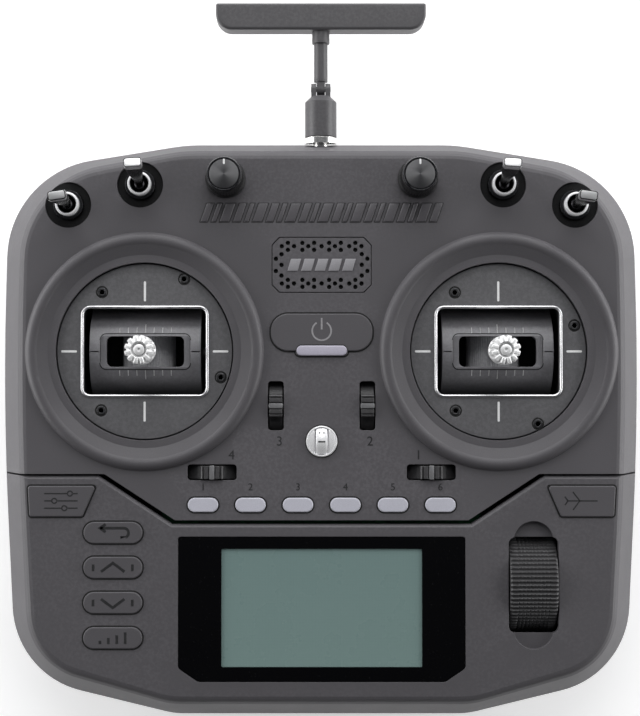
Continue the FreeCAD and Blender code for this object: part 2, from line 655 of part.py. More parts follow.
PADDLE_GROWTH = ((1.5, 3.0, 3.0, 1.3), (8.0, 3.4, 2.9, 1.2), (17.0, 5.6, 3.1, 1.2), (26.0, 6.2, 3.3, 1.0))
for name, side in SIDES:
    for place_name, across, up, turn in TOGGLES:
        toggle = new_body(f"{name}_{place_name}_toggle")
        ball = toggle.newObject("PartDesign::AdditiveSphere", toggle.Label + "_ball")
        ball.Radius = 2.9
        loft(toggle, [(box_outline(0, 0, width, depth, radius), str(level))
                      for level, width, depth, radius in PADDLE_GROWTH])
        lean = -SIZE["toggle_lean"] if place_name == "inner" else 0
        rotation = FreeCAD.Rotation(Vector(1, 0, 0), lean) * FreeCAD.Rotation(Vector(0, 0, 1), -side * turn)
        place(toggle, sided(side, place_name + "_toggle_across"), f"Sizes.{place_name}_toggle_up",
              "Sizes.face_height + 1.0", rotation)

pot_bodies = new_body("pot_bodies")
pad(pot_bodies, mirrored(circle, SIZE["knob_across"], SIZE["knob_up"], 5.6),
    "Sizes.face_height - Sizes.face_wall - 8.2", "8")
pad(pot_bodies, mirrored(circle, SIZE["knob_across"], SIZE["knob_up"], 2.95),
    "Sizes.face_height - Sizes.face_wall - 1", "12.5")
place(pot_bodies)
for name, side in SIDES:
    knob = turned(name + "_knob", ((3.0, 0.4), (7.2, 0.4), (7.2, 3.2), (6.5, 4.2), (6.3, 12.0), (5.7, 13.0),
                                   (0, 13.0), (0, 9.4), (3.0, 9.4)))
    place(knob, sided(side, "knob_across"), "Sizes.knob_up", "Sizes.face_height")

# --- buttons, keys and trims ----------------------------------------------------------------------

def key(label, outline, flange, rise="Sizes.key_rise"):
    """A push key that stands a little above the face, with a flange that stops it inside."""
    body = new_body(label)
    pad(body, outline, "-Sizes.key_depth", f"Sizes.key_depth + {rise}")
    round_edges(body, 0.4, at_height(SIZE["key_rise"]))
    pad(body, flange, "-Sizes.key_depth - 0.6", "1.2")
    place(body, "0", "0", "Sizes.face_height")


key("power_button", power_outline(0), box_outline(0, 34.4, 38.6, 15.2, 5))
for index, x in enumerate(BUTTON_X, start=1):
    key(f"light_button_{index}", box_outline(x, BUTTON_Y, *BUTTON_SIZE, 2.5),
        box_outline(x, BUTTON_Y, BUTTON_SIZE[0] + 1.6, BUTTON_SIZE[1] + 1.6, 3.2))
for label, up in OBLONG_KEYS:
    key(label, box_outline(OBLONG_X, up, *OBLONG_SIZE, 3.8),
        box_outline(OBLONG_X, up, OBLONG_SIZE[0] + 1.6, OBLONG_SIZE[1] + 1.6, 4.6))
key("system_key", trapezoid_key(-1, 0), box_outline(-93.2, -26, 22.0, 12.8, 1))
key("model_key", trapezoid_key(1, 0), box_outline(93.2, -26, 22.0, 12.8, 1))

TRIM_RADIUS = 13.0
TRIM_PIVOT = 13.8


def cap_groove(body, geometry, plane):
    """A groove right across a rocker's cap."""
    feature = body.newObject("PartDesign::Pocket", body.Label + "_groove")
    feature.Profile = new_sketch(body, geometry, "0", plane)
    feature.Midplane = True
    feature.Length = 12


def trim(label, x, y, upright):
    """A rocker: a drum sector that keeps the slot filled, a ribbed cap and an axle."""
    body = new_body(label)
    plane = "YZ_Plane" if upright else "XZ_Plane"
    spread = math.radians(56)
    corner = Vector(TRIM_RADIUS * math.sin(spread), TRIM_RADIUS * math.cos(spread), 0)
    opposite = Vector(-corner.x, corner.y, 0)
    sector = [Part.Arc(corner, Vector(0, TRIM_RADIUS, 0), opposite),
              Part.LineSegment(opposite, Vector(0, -1, 0)), Part.LineSegment(Vector(0, -1, 0), corner)]
    pad(body, sector, "0", "4.8", plane, symmetric=True)
    pad(body, circle(0, 0, 2.6), "0", "4.8", plane, symmetric=True)
    pad(body, circle(0, 0, 1.2), "0", "8", plane, symmetric=True)
    pad(body, box_outline(0, TRIM_RADIUS, 8.0, 4.4, 0.8), "0", "4.6", plane, symmetric=True)
    for notch in range(4):
        cap_groove(body, box_outline((notch - 1.5) * 2.0, TRIM_RADIUS + 2.4, 0.7, 1.4, 0), plane)
    place(body, str(x), str(y), f"Sizes.face_height - {TRIM_PIVOT}")


for name, side in SIDES:
    trim(name + "_upright_trim", side * UPRIGHT_TRIM[0], UPRIGHT_TRIM[1], True)
    trim(name + "_level_trim", side * LEVEL_TRIM[0], LEVEL_TRIM[1], False)

# --- scroll roller --------------------------------------------------------------------------------

ROLLER_Z = FACE + 3.0 - SIZE["roller_radius"]
RIBS = 74
scroll_roller = new_body("scroll_roller")
rim = []
for index in range(RIBS):
    for part, radius in ((0.0, 0.0), (0.5, -0.7)):
        angle = 2 * math.pi * (index + part) / RIBS
        reach = SIZE["roller_radius"] + radius
        for spread in (-0.2, 0.2):
            turn = angle + spread * 2 * math.pi / RIBS
            rim.append(Vector(reach * math.cos(turn), reach * math.sin(turn), 0))
rim_edges = [Part.LineSegment(rim[index - 1], rim[index]) for index in range(len(rim))]
pad(scroll_roller, rim_edges + circle(0, 0, 2.05), "0", "Sizes.roller_width", "YZ_Plane", symmetric=True)
place(scroll_roller, "Sizes.roller_across", "Sizes.roller_up", str(ROLLER_Z))

roller_carrier = new_body("roller_carrier")
pad(roller_carrier, circle(0, 0, 2.0), "0", "Sizes.roller_width + 3", "YZ_Plane", symmetric=True)
for level in ("Sizes.roller_width / 2 + 0.4", "-Sizes.roller_width / 2 - 1.9"):
    pad(roller_carrier, box_outline(0, -1, 10, 13, 2), level, "1.5", "YZ_Plane")
place(roller_carrier, "Sizes.roller_across", "Sizes.roller_up", str(ROLLER_Z))

# --- shoulder buttons -----------------------------------------------------------------------------

for name, side in SIDES:
    shoulder = new_body(name + "_shoulder_button")
    pad(shoulder, circle(side * SHOULDER_X, SHOULDER_Z, 4.7), "-96.5", "12", "XZ_Plane")
    place(shoulder)

# --- antenna --------------------------------------------------------------------------------------

FOLD_Y = 125.6

antenna_socket = new_body("antenna_socket")
for radius, start, length in ((2.95, 96.5, 8.5), (6.0, 104.9, 2.2), (2.5, 104.9, 9.6)):
    pad(antenna_socket, circle(0, ANTENNA_Z, radius), str(-start - length), str(length), "XZ_Plane")
pad(antenna_socket, box_outline(0, ANTENNA_Z, 9, 9, 1), "-98.5", "3", "XZ_Plane")
place(antenna_socket)

antenna_sleeve = new_body("antenna_sleeve")
sleeve_profile = [(0, 114.9), (2.56, 114.9), (2.56, 107.5), (5.85, 107.5), (5.85, 120.6), (3.6, 122.8),
                  (0, 122.8)]
points = [Vector(x, y, 0) for x, y in sleeve_profile]
edges = [Part.LineSegment(points[index - 1], points[index]) for index in range(len(points))]
revolve(antenna_sleeve, edges, "XY_Plane", str(ANTENNA_Z), (0, 0), "V_Axis")
fork = [Part.Arc(Vector(FOLD_Y, 2.1, 0), Vector(FOLD_Y + 2.1, 0, 0), Vector(FOLD_Y, -2.1, 0)),
        Part.LineSegment(Vector(FOLD_Y, -2.1, 0), Vector(122.0, -2.1, 0)),
        Part.LineSegment(Vector(122.0, -2.1, 0), Vector(122.0, 2.1, 0)),
        Part.LineSegment(Vector(122.0, 2.1, 0), Vector(FOLD_Y, 2.1, 0))]
for level in ("1.7", "-3.55"):
    pad(antenna_sleeve, fork, level, "1.85", "YZ_Plane", (0, ANTENNA_Z))
pocket(antenna_sleeve, circle(FOLD_Y, ANTENNA_Z, 1.05), "-6", "12", "YZ_Plane", upward=True)
place(antenna_sleeve)

antenna_mast = new_body("antenna_mast")
blade = [Part.Arc(Vector(FOLD_Y, 2.1, 0), Vector(FOLD_Y - 2.1, 0, 0), Vector(FOLD_Y, -2.1, 0)),
         Part.LineSegment(Vector(FOLD_Y, -2.1, 0), Vector(129.5, -2.1, 0)),
         Part.LineSegment(Vector(129.5, -2.1, 0), Vector(129.5, 2.1, 0)),
         Part.LineSegment(Vector(129.5, 2.1, 0), Vector(FOLD_Y, 2.1, 0))]
pad(antenna_mast, blade, "0", "3.0", "YZ_Plane", (0, ANTENNA_Z), True)
pad(antenna_mast, circle(0, ANTENNA_Z, SIZE["mast_radius"]), "-147.1", "147.1 - 128.3", "XZ_Plane")
pad(antenna_mast, circle(0, ANTENNA_Z, 3.25), "-147.1", "4.5", "XZ_Plane")
pocket(antenna_mast, circle(FOLD_Y, ANTENNA_Z, 1.05), "-6", "12", "YZ_Plane", upward=True)
place(antenna_mast)

antenna_pin = new_body("antenna_pin")
pad(antenna_pin, circle(FOLD_Y, ANTENNA_Z, 1.0), "0", "7.3", "YZ_Plane", symmetric=True)
place(antenna_pin)

antenna_bar = new_body("antenna_bar")
half_bar = SIZE["bar_length"] / 2
bar_corners = both_sides([(half_bar, 157.0, 0.8), (half_bar, 147.1, 6.0)])
pad(antenna_bar, rounded(bar_corners), str(ANTENNA_Z), "9", symmetric=True)
BAR_TOP, BAR_UNDERSIDE = at_height(ANTENNA_Z + 4.5), at_height(ANTENNA_Z - 4.5)
round_edges(antenna_bar, 1.0, lambda edge: BAR_TOP(edge) or BAR_UNDERSIDE(edge))
place(antenna_bar)

# --- checks and files -----------------------------------------------------------------------------

doc.recompute()
for item in doc.Objects:
    if "Invalid" in item.State or "Error" in item.State:
        raise RuntimeError(f"{item.Label}: {item.State}")
for body in NODES:
    if body.Shape.isNull() or not body.Shape.isValid():
        raise RuntimeError(f"{body.Label}: bad shape")
os.makedirs("parts", exist_ok=True)
for body in NODES:
    body.Shape.exportStep(f"parts/{body.Label}.step")
    print(f"{body.Label:24s} {len(body.Shape.Solids):2d} solids {body.Shape.Volume / 1000:8.2f} cm3")
print(len(NODES), "nodes")
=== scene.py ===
import math

import bmesh
import bpy
from mathutils import Matrix, Vector


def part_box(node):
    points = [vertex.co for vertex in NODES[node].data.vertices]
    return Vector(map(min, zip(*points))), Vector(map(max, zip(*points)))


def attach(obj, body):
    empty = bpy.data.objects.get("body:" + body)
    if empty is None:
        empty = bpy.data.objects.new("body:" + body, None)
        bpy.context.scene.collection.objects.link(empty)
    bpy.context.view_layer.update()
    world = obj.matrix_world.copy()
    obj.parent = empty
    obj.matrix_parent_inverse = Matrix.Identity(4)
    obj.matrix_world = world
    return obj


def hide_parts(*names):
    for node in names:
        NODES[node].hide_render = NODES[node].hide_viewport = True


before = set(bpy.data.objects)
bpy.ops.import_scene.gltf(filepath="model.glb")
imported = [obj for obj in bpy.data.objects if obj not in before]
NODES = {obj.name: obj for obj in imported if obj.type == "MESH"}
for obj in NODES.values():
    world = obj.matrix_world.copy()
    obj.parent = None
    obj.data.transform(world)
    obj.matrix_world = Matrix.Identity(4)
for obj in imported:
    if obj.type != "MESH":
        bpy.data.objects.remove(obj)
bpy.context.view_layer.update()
MM = 0.001
SIDES = (("left", -1), ("right", 1))
scene = bpy.context.scene

# --- places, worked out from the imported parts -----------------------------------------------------


def middle(node):
    low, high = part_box(node)
    return (low + high) / 2


def top_of(node):
    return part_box(node)[1].z


PANEL_Z = top_of("lower_panel")
PLATE_Z = top_of("gimbal_plates")
GIMBALS = {name: middle(name + "_gimbal_yoke") for name, _ in SIDES}

# --- materials --------------------------------------------------------------------------------------


class Shader:
    """A node material built around one principled shader."""

    def __init__(self, name, rough=0.5, metal=0.0, specular=0.5):
        self.material = bpy.data.materials.new(name)
        self.material.use_nodes = True
        self.tree = self.material.node_tree
        self.bsdf = self.tree.nodes["Principled BSDF"]
        self.bsdf.inputs["Metallic"].default_value = metal
        self.bsdf.inputs["Roughness"].default_value = rough
        self.bsdf.inputs["Specular IOR Level"].default_value = specular
        self.coordinates = self.add("ShaderNodeTexCoord").outputs["Object"]

    def add(self, kind, **values):
        node = self.tree.nodes.new(kind)
        for key, value in values.items():
            setattr(node, key, value)
        return node

    def link(self, output, socket):
        self.tree.links.new(output, socket)

    def noise(self, scale, detail=4.0, rough=0.6, stretch=None):
        node = self.add("ShaderNodeTexNoise")
        node.inputs["Scale"].default_value = scale
        node.inputs["Detail"].default_value = detail
        node.inputs["Roughness"].default_value = rough
        source = self.coordinates
        if stretch is not None:
            mapping = self.add("ShaderNodeMapping")
            mapping.inputs["Scale"].default_value = stretch
            self.link(source, mapping.inputs["Vector"])
            source = mapping.outputs["Vector"]
        self.link(source, node.inputs["Vector"])
        return node.outputs["Fac"]

    def ramp(self, factor, stops):
        node = self.add("ShaderNodeValToRGB")
        elements = node.color_ramp.elements
        while len(elements) < len(stops):
            elements.new(0.5)
        for element, (place, value) in zip(elements, stops):
            element.position = place
            colour = value if isinstance(value, tuple) else (value, value, value)
            element.color = (*colour, 1.0)
        self.link(factor, node.inputs["Fac"])
        return node.outputs["Color"]

    def mix(self, factor, first, second, blend="MIX"):
        node = self.add("ShaderNodeMix", data_type="RGBA", blend_type=blend)
        for value, socket in ((factor, node.inputs[0]), (first, node.inputs[6]), (second, node.inputs[7])):
            if isinstance(value, (int, float)):
                socket.default_value = value
            elif isinstance(value, tuple):
                socket.default_value = (*value, 1.0)
            else:
                self.link(value, socket)
        return node.outputs[2]

    def wear(self, low=0.52, high=0.62):
        """A mask of the outer edges, from the mesh's pointiness, broken up by noise."""
        geometry = self.add("ShaderNodeNewGeometry")
        mask = self.ramp(geometry.outputs["Pointiness"], ((low, 0.0), (high, 1.0)))
        patches = self.ramp(self.noise(900), ((0.42, 0.0), (0.62, 1.0)))
        return self.mix(1.0, mask, patches, "MULTIPLY")

    def bump(self, height, strength, distance, bevel=0.0):
        node = self.add("ShaderNodeBump")
        node.inputs["Strength"].default_value = strength
        node.inputs["Distance"].default_value = distance
        self.link(height, node.inputs["Height"])
        if bevel:
            soft = self.add("ShaderNodeBevel", samples=4)
            soft.inputs["Radius"].default_value = bevel
            self.link(soft.outputs["Normal"], node.inputs["Normal"])
        self.link(node.outputs["Normal"], self.bsdf.inputs["Normal"])


def moulded(name, colour, rough=0.55, grain=3200, depth=0.2, variation=0.035, bevel=0.0003, wear=0.3,
            specular=0.5):
    """Moulded plastic: fine spark-eroded grain, faint mottling and slightly polished edges."""
    shader = Shader(name, rough, specular=specular)
    mottle = shader.noise(34, 5)
    dark = tuple(channel * (1 - variation) for channel in colour)
    light = tuple(channel * (1 + variation) for channel in colour)
    base = shader.ramp(mottle, ((0.3, dark), (0.7, light)))
    fine = shader.noise(grain, 2, 0.7)
    speck = shader.ramp(fine, ((0.35, 0.93), (0.65, 1.05)))
    base = shader.mix(1.0, base, speck, "MULTIPLY")
    pale = tuple(min(1.0, channel * 1.7 + 0.01) for channel in colour)
    edges = shader.mix(1.0, shader.wear(), (wear, wear, wear), "MULTIPLY")
    base = shader.mix(edges, base, pale)
    shader.link(base, shader.bsdf.inputs["Base Color"])
    shine = shader.ramp(shader.noise(60, 6), ((0.3, rough - 0.025), (0.7, rough + 0.025)))
    shader.link(shine, shader.bsdf.inputs["Roughness"])
    shader.bump(fine, depth, 0.00004, bevel)
    return shader.material


def metal(name, colour, rough=0.2, brushed=None, bevel=0.0002, tarnish=0.12, bare=1.0):
    """Bare or plated metal with fine scratches and uneven polish; less bare is more frosted."""
    shader = Shader(name, rough, bare)
    cloud = shader.noise(260, 4)
    dark = tuple(channel * (1 - tarnish) for channel in colour)
    base = shader.ramp(cloud, ((0.35, dark), (0.65, colour)))
    shader.link(base, shader.bsdf.inputs["Base Color"])
    scratches = shader.noise(7000, 2, 0.6, brushed or (1.0, 4.0, 1.0))
    shine = shader.ramp(scratches, ((0.3, max(0.02, rough - 0.06)), (0.7, rough + 0.1)))
    shader.link(shine, shader.bsdf.inputs["Roughness"])
    shader.bump(scratches, 0.08, 0.00001, bevel)
    return shader.material


def gloss(name, colour, rough=0.08, coat=0.0, dust=0.04, specular=0.2):
    """Polished plastic or glass with faint dust and smears."""
    shader = Shader(name, rough, specular=specular)
    shader.bsdf.inputs["Coat Weight"].default_value = coat
    shader.bsdf.inputs["Coat Roughness"].default_value = 0.05
    specks = shader.ramp(shader.noise(1500, 2), ((0.66, 0.0), (0.74, 1.0)))
    dusty = tuple(min(1.0, channel + dust) for channel in colour)
    base = shader.mix(specks, colour, dusty)
    shader.link(base, shader.bsdf.inputs["Base Color"])
    smear = shader.ramp(shader.noise(45, 6, 0.6, (1.0, 2.2, 1.0)), ((0.35, rough), (0.75, rough + 0.08)))
    shader.link(smear, shader.bsdf.inputs["Roughness"])
    shader.bump(shader.noise(70, 2), 0.02, 0.0002)
    return shader.material


CASE = (0.085, 0.081, 0.088)
LOOKS = {
    "case": moulded("case_plastic", CASE, 0.52),
    "panel": moulded("panel_plastic", tuple(channel * 0.92 for channel in CASE), 0.54),
    "plate": moulded("plate_plastic", (0.1, 0.099, 0.104), 0.48, depth=0.12),
    "yoke": moulded("yoke_plastic", (0.17, 0.168, 0.178), 0.34, depth=0.05),
    "dark": moulded("dark_plastic", (0.012, 0.012, 0.013), 0.42, depth=0.15),
    "soft_black": moulded("soft_black", (0.045, 0.044, 0.046), 0.42),
    "antenna": moulded("antenna_plastic", (0.075, 0.073, 0.077), 0.42, depth=0.2),
    "rubber": moulded("grip_rubber", (0.025, 0.025, 0.027), 0.75, grain=900, depth=0.8),
    "chrome": metal("chrome", (0.97, 0.97, 0.98), 0.3, tarnish=0.04),
    "nickel": metal("nickel", (0.95, 0.94, 0.92), 0.2, tarnish=0.1),
    "aluminium": metal("aluminium", (0.97, 0.97, 0.97), 0.4, tarnish=0.05, bare=0.45),
    "lug": metal("lug_chrome", (0.97, 0.97, 0.98), 0.28, tarnish=0.03, bare=0.3),
    "toggle": metal("toggle_steel", (0.97, 0.97, 0.97), 0.34, (1.0, 1.0, 4.0), tarnish=0.05),
    "black_chrome": metal("black_chrome", (0.07, 0.07, 0.075), 0.2, (1.0, 1.0, 4.0)),
    "screw": metal("screw_steel", (0.14, 0.14, 0.145), 0.35, tarnish=0.3),
    "drum": moulded("drum_plastic", (0.62, 0.62, 0.64), 0.3, depth=0.05),
    "window": gloss("window_gloss", (0.0025, 0.0025, 0.003), 0.1, 0.0, 0.006),
    "pale": moulded("pale_plastic", (0.50, 0.50, 0.56), 0.35, depth=0.08, variation=0.04, wear=0.1),
    "board": moulded("board_mask", (0.01, 0.09, 0.035), 0.4),
    "cell": moulded("cell_sleeve", (0.03, 0.12, 0.3), 0.35),
    "white": moulded("white_print", (0.78, 0.78, 0.78), 0.5, depth=0.05, variation=0.03, wear=0.0, bevel=0.0),
    # dark_print_and_painted_shade is real print on the numbers and most key marks, and painted shade on the rib
    # outlines and on the system and model key marks.
    "print": moulded("dark_print_and_painted_shade", (0.018, 0.018, 0.019), 0.45, depth=0.05, bevel=0.0),
    "grey_print": moulded("grey_print", (0.7, 0.7, 0.7), 0.5, depth=0.05, bevel=0.0),
    "pale_print": moulded("pale_print", (0.27, 0.265, 0.275), 0.5, depth=0.05, bevel=0.0),
    "knob_black": moulded("knob_black", (0.006, 0.006, 0.0065), 0.42, depth=0.1, wear=0.15),
    "case_sheen": moulded("case_sheen", tuple(channel * 1.05 for channel in CASE), 0.38, depth=0.12),
    "trim_grey": moulded("trim_grey", (0.15, 0.15, 0.155), 0.36, depth=0.1),
    "badge": moulded("grille_badge", (0.27, 0.265, 0.28), 0.45, depth=0.1, wear=0.1),
    "lamp": moulded("lamp_cover", (0.46, 0.44, 0.52), 0.3, depth=0.05, variation=0.03, wear=0.1),
    "cup_black": moulded("cup_black", (0.005, 0.005, 0.0055), 0.6, specular=0.2),
    # Painted shade: near-black fill laid into gaps, bores, slits and recesses that are dark only because they
    # are in shade.
    "painted_shade_fill": moulded("painted_shade_black", (0.006, 0.006, 0.006), 0.7, bevel=0.0),
}


def screen_glass():
    """A grey-green reflective display with a fine pixel grid and an even vertical fade."""
    shader = Shader("lcd_glass", 0.32)
    separate = shader.add("ShaderNodeSeparateXYZ")
    shader.link(shader.coordinates, separate.inputs[0])
    low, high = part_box("lcd_module")
    span = shader.add("ShaderNodeMapRange")
    span.inputs["From Min"].default_value = low.y
    span.inputs["From Max"].default_value = high.y
    shader.link(separate.outputs["Y"], span.inputs["Value"])
    fade = shader.ramp(span.outputs["Result"], ((0.0, (0.182, 0.264, 0.250)), (1.0, (0.166, 0.242, 0.233))))
    grid = shader.add("ShaderNodeTexBrick", offset=0.0)
    grid.inputs["Scale"].default_value = 1 / (0.56 * MM) / 2
    grid.inputs["Mortar Size"].default_value = 0.05
    grid.inputs["Brick Width"].default_value = 1.0
    grid.inputs["Row Height"].default_value = 1.0
    grid.inputs["Color1"].default_value = (1, 1, 1, 1)
    grid.inputs["Color2"].default_value = (0.985, 0.985, 0.985, 1)
    grid.inputs["Mortar"].default_value = (0.93, 0.93, 0.93, 1)
    shader.link(shader.coordinates, grid.inputs["Vector"])
    base = shader.mix(1.0, fade, grid.outputs["Color"], "MULTIPLY")
    shader.link(base, shader.bsdf.inputs["Base Color"])
    smear = shader.ramp(shader.noise(50, 5), ((0.35, 0.24), (0.7, 0.36)))
    shader.link(smear, shader.bsdf.inputs["Roughness"])
    return shader.material


LOOKS["lcd"] = screen_glass()


def spun_disc(name, node):
    """Metal turned on a lathe with fine rings round the centre, and a painted highlight: its colour is lighter
    in two fans to the sides and darker between them.
    """
    shader = Shader("spun_" + name, 0.32, 0.35)
    hub = middle(node)
    centred = shader.add("ShaderNodeVectorMath", operation="SUBTRACT")
    centred.inputs[1].default_value = hub
    shader.link(shader.coordinates, centred.inputs[0])
    length = shader.add("ShaderNodeVectorMath", operation="LENGTH")
    shader.link(centred.outputs["Vector"], length.inputs[0])
    rings = shader.add("ShaderNodeMath", operation="SINE")
    scaled = shader.add("ShaderNodeMath", operation="MULTIPLY")
    scaled.inputs[1].default_value = 2 * math.pi / (0.16 * MM)
    shader.link(length.outputs["Value"], scaled.inputs[0])
    shader.link(scaled.outputs["Value"], rings.inputs[0])
    parts = shader.add("ShaderNodeSeparateXYZ")
    shader.link(centred.outputs["Vector"], parts.inputs[0])
    angle = shader.add("ShaderNodeMath", operation="ARCTAN2")
    shader.link(parts.outputs["Y"], angle.inputs[0])
    shader.link(parts.outputs["X"], angle.inputs[1])
    doubled = shader.add("ShaderNodeMath", operation="MULTIPLY")
    doubled.inputs[1].default_value = 2.0
    shader.link(angle.outputs["Value"], doubled.inputs[0])
    # Painted highlight: the colour brightens towards the sides of the disc and darkens above and below it, in
    # place of the fans of light the lathe rings would catch.
    painted_highlight_fan = shader.add("ShaderNodeMath", operation="COSINE")
    shader.link(doubled.outputs["Value"], painted_highlight_fan.inputs[0])
    tone = shader.add("ShaderNodeMapRange")
    tone.inputs["From Min"].default_value = -1.0
    shader.link(painted_highlight_fan.outputs["Value"], tone.inputs["Value"])
    base = shader.ramp(tone.outputs["Result"], ((0.0, (0.06, 0.06, 0.064)), (0.5, (0.11, 0.11, 0.114)),
                                                (1.0, (0.2, 0.2, 0.205))))
    cloud = shader.ramp(shader.noise(400, 3), ((0.3, 0.85), (0.7, 1.0)))
    shader.link(shader.mix(1.0, base, cloud, "MULTIPLY"), shader.bsdf.inputs["Base Color"])
    shader.bump(rings.outputs["Value"], 0.15, 0.00002)
    return shader.material


for name, _ in SIDES:
    LOOKS["spun_" + name] = spun_disc(name, name + "_knob")

CARRIED = {
    "case": ("front_case", "rear_case", "speaker_grille", "power_button", "battery_door", "module_bay_cover"),
    "panel": ("lower_panel", "return_key", "page_up_key", "page_down_key", "telemetry_key", "system_key",
              "model_key"),
    "plate": ("gimbal_plates",),
    "dark": ("gimbal_housings", "roller_carrier", "speaker"),
    "cup_black": ("switch_cups",),
    "yoke": ("left_gimbal_yoke", "right_gimbal_yoke"),
    "drum": ("left_stick", "right_stick"),
    "soft_black": ("scroll_roller", "left_upright_trim", "right_upright_trim", "left_level_trim",
                   "right_level_trim", "left_shoulder_button", "right_shoulder_button", "left_knob",
                   "right_knob"),
    "antenna": ("antenna_sleeve", "antenna_mast", "antenna_bar"),
    "rubber": ("side_grips",),
    "chrome": ("strap_lug", "gimbal_bezels"),
    "nickel": ("port_connectors", "antenna_socket", "pot_bodies"),
    "aluminium": ("left_stick_tip", "right_stick_tip"),
    "black_chrome": ("switch_bushings", "left_outer_toggle", "left_inner_toggle", "right_outer_toggle",
                     "right_inner_toggle"),
    "screw": ("gimbal_screws", "case_screws", "antenna_pin"),
    "window": ("screen_window",),
    "pale": tuple(f"light_button_{number}" for number in range(1, 7)),
    "board": ("main_board",),
    "cell": ("battery_cells",),
    "lcd": ("lcd_module",),
}
for look, names in CARRIED.items():
    for name in names:
        mesh = NODES[name].data
        mesh.materials.clear()
        mesh.materials.append(LOOKS[look])

# --- mesh helpers ---------------------------------------------------------------------------------------


def piece(name, bm, look, body, smooth=35, replaced=()):
    """Turns a bmesh in millimetres into a named piece that rides on a body."""
    bmesh.ops.scale(bm, vec=(MM, MM, MM), verts=bm.verts)
    bmesh.ops.recalc_face_normals(bm, faces=bm.faces)
    mesh = bpy.data.meshes.new(name)
    bm.to_mesh(mesh)
    bm.free()
    for polygon in mesh.polygons:
        polygon.use_smooth = True
    mesh.set_sharp_from_angle(angle=math.radians(smooth))
    mesh.materials.append(LOOKS[look])
    item = bpy.data.objects.new(name, mesh)
    scene.collection.objects.link(item)
    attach(item, body)
    if replaced:
        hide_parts(*replaced)
    return item


def prism(bm, outline, bottom, top, bevel=0.15, steps=2):
    """A plate from a closed outline of (x, y) corners, with its top edge rounded over."""
    low = [bm.verts.new((x, y, bottom)) for x, y in outline]
    bm.faces.new(low)
    rings = [low]
    for step in range(steps + 1):
        turn = step / steps * math.pi / 2
        inset = bevel * (1 - math.cos(turn))
        level = top - bevel * (1 - math.sin(turn))
        rings.append([bm.verts.new((x, y, level)) for x, y in inset_outline(outline, inset)])
    for lower, upper in zip(rings, rings[1:]):
        for index in range(len(outline)):
            bm.faces.new((lower[index - 1], lower[index], upper[index], upper[index - 1]))
    bm.faces.new(rings[-1])


def inset_outline(outline, inset):
    """The outline moved inwards; it runs anticlockwise."""
    moved = []
    for index, point in enumerate(outline):
        here = Vector(point)
        back = (here - Vector(outline[index - 1])).normalized()
        ahead = (Vector(outline[(index + 1) % len(outline)]) - here).normalized()
        normal = Vector((-(back.y + ahead.y), back.x + ahead.x))
        if normal.length < 1e-6:
            normal = Vector((-back.y, back.x))
        normal.normalize()
        share = max(0.4, normal.dot(Vector((-back.y, back.x))))
        moved.append(tuple(here + normal * inset / share))
    return moved


def rounded_box(x, y, width, length, radius, steps=6):
    outline = []
    for number, (across, up) in enumerate(((1, 1), (-1, 1), (-1, -1), (1, -1))):
        centre = (x + across * (width / 2 - radius), y + up * (length / 2 - radius))
        for step in range(steps + 1):
            angle = (number + step / steps) * math.pi / 2
            outline.append((centre[0] + radius * math.cos(angle), centre[1] + radius * math.sin(angle)))
    return outline


def rounded_polygon(corners, steps=7):
    """An outline through anticlockwise (x, y, radius) corners, each rounded by an arc."""
    outline = []
    for index, (x, y, radius) in enumerate(corners):
        here = Vector((x, y))
        back = (Vector(corners[index - 1][:2]) - here).normalized()
        ahead = (Vector(corners[(index + 1) % len(corners)][:2]) - here).normalized()
        if radius == 0:
            outline.append((x, y))
            continue
        half = back.angle(ahead) / 2
        hub = here + (back + ahead).normalized() * radius / math.sin(half)
        first = here + back * radius / math.tan(half) - hub
        last = here + ahead * radius / math.tan(half) - hub
        for step in range(steps + 1):
            spoke = first.lerp(last, step / steps).normalized() * radius
            outline.append(tuple(hub + spoke))
    return outline


def slanted_bar(x, y, width, length, lean=0.35):
    shift = lean * length / 2
    corners = [(-width / 2 - shift, -length / 2), (width / 2 - shift, -length / 2),
               (width / 2 + shift, length / 2), (-width / 2 + shift, length / 2)]
    return [(x + across, y + up) for across, up in corners]


def stroke(bm, points, width, bottom, top, bevel=0.06):
    """A raised line of even width along (x, y) points, with mitred corners."""
    left, right = [], []
    for index, point in enumerate(points):
        here = Vector(point)
        ahead = (Vector(points[min(index + 1, len(points) - 1)]) - here)
        back = (here - Vector(points[max(index - 1, 0)]))
        along = (ahead.normalized() + back.normalized()).normalized()
        normal = Vector((-along.y, along.x))
        first = back if back.length > 0 else ahead
        share = max(0.5, abs(normal.dot(Vector((-first.y, first.x)).normalized())))
        left.append(tuple(here + normal * width / 2 / share))
        right.append(tuple(here - normal * width / 2 / share))
    prism(bm, right + left[::-1], bottom, top, bevel, 1)


def arc_points(x, y, radius, start, end, steps=24):
    span = [math.radians(start + (end - start) * step / steps) for step in range(steps + 1)]
    return [(x + radius * math.cos(angle), y + radius * math.sin(angle)) for angle in span]


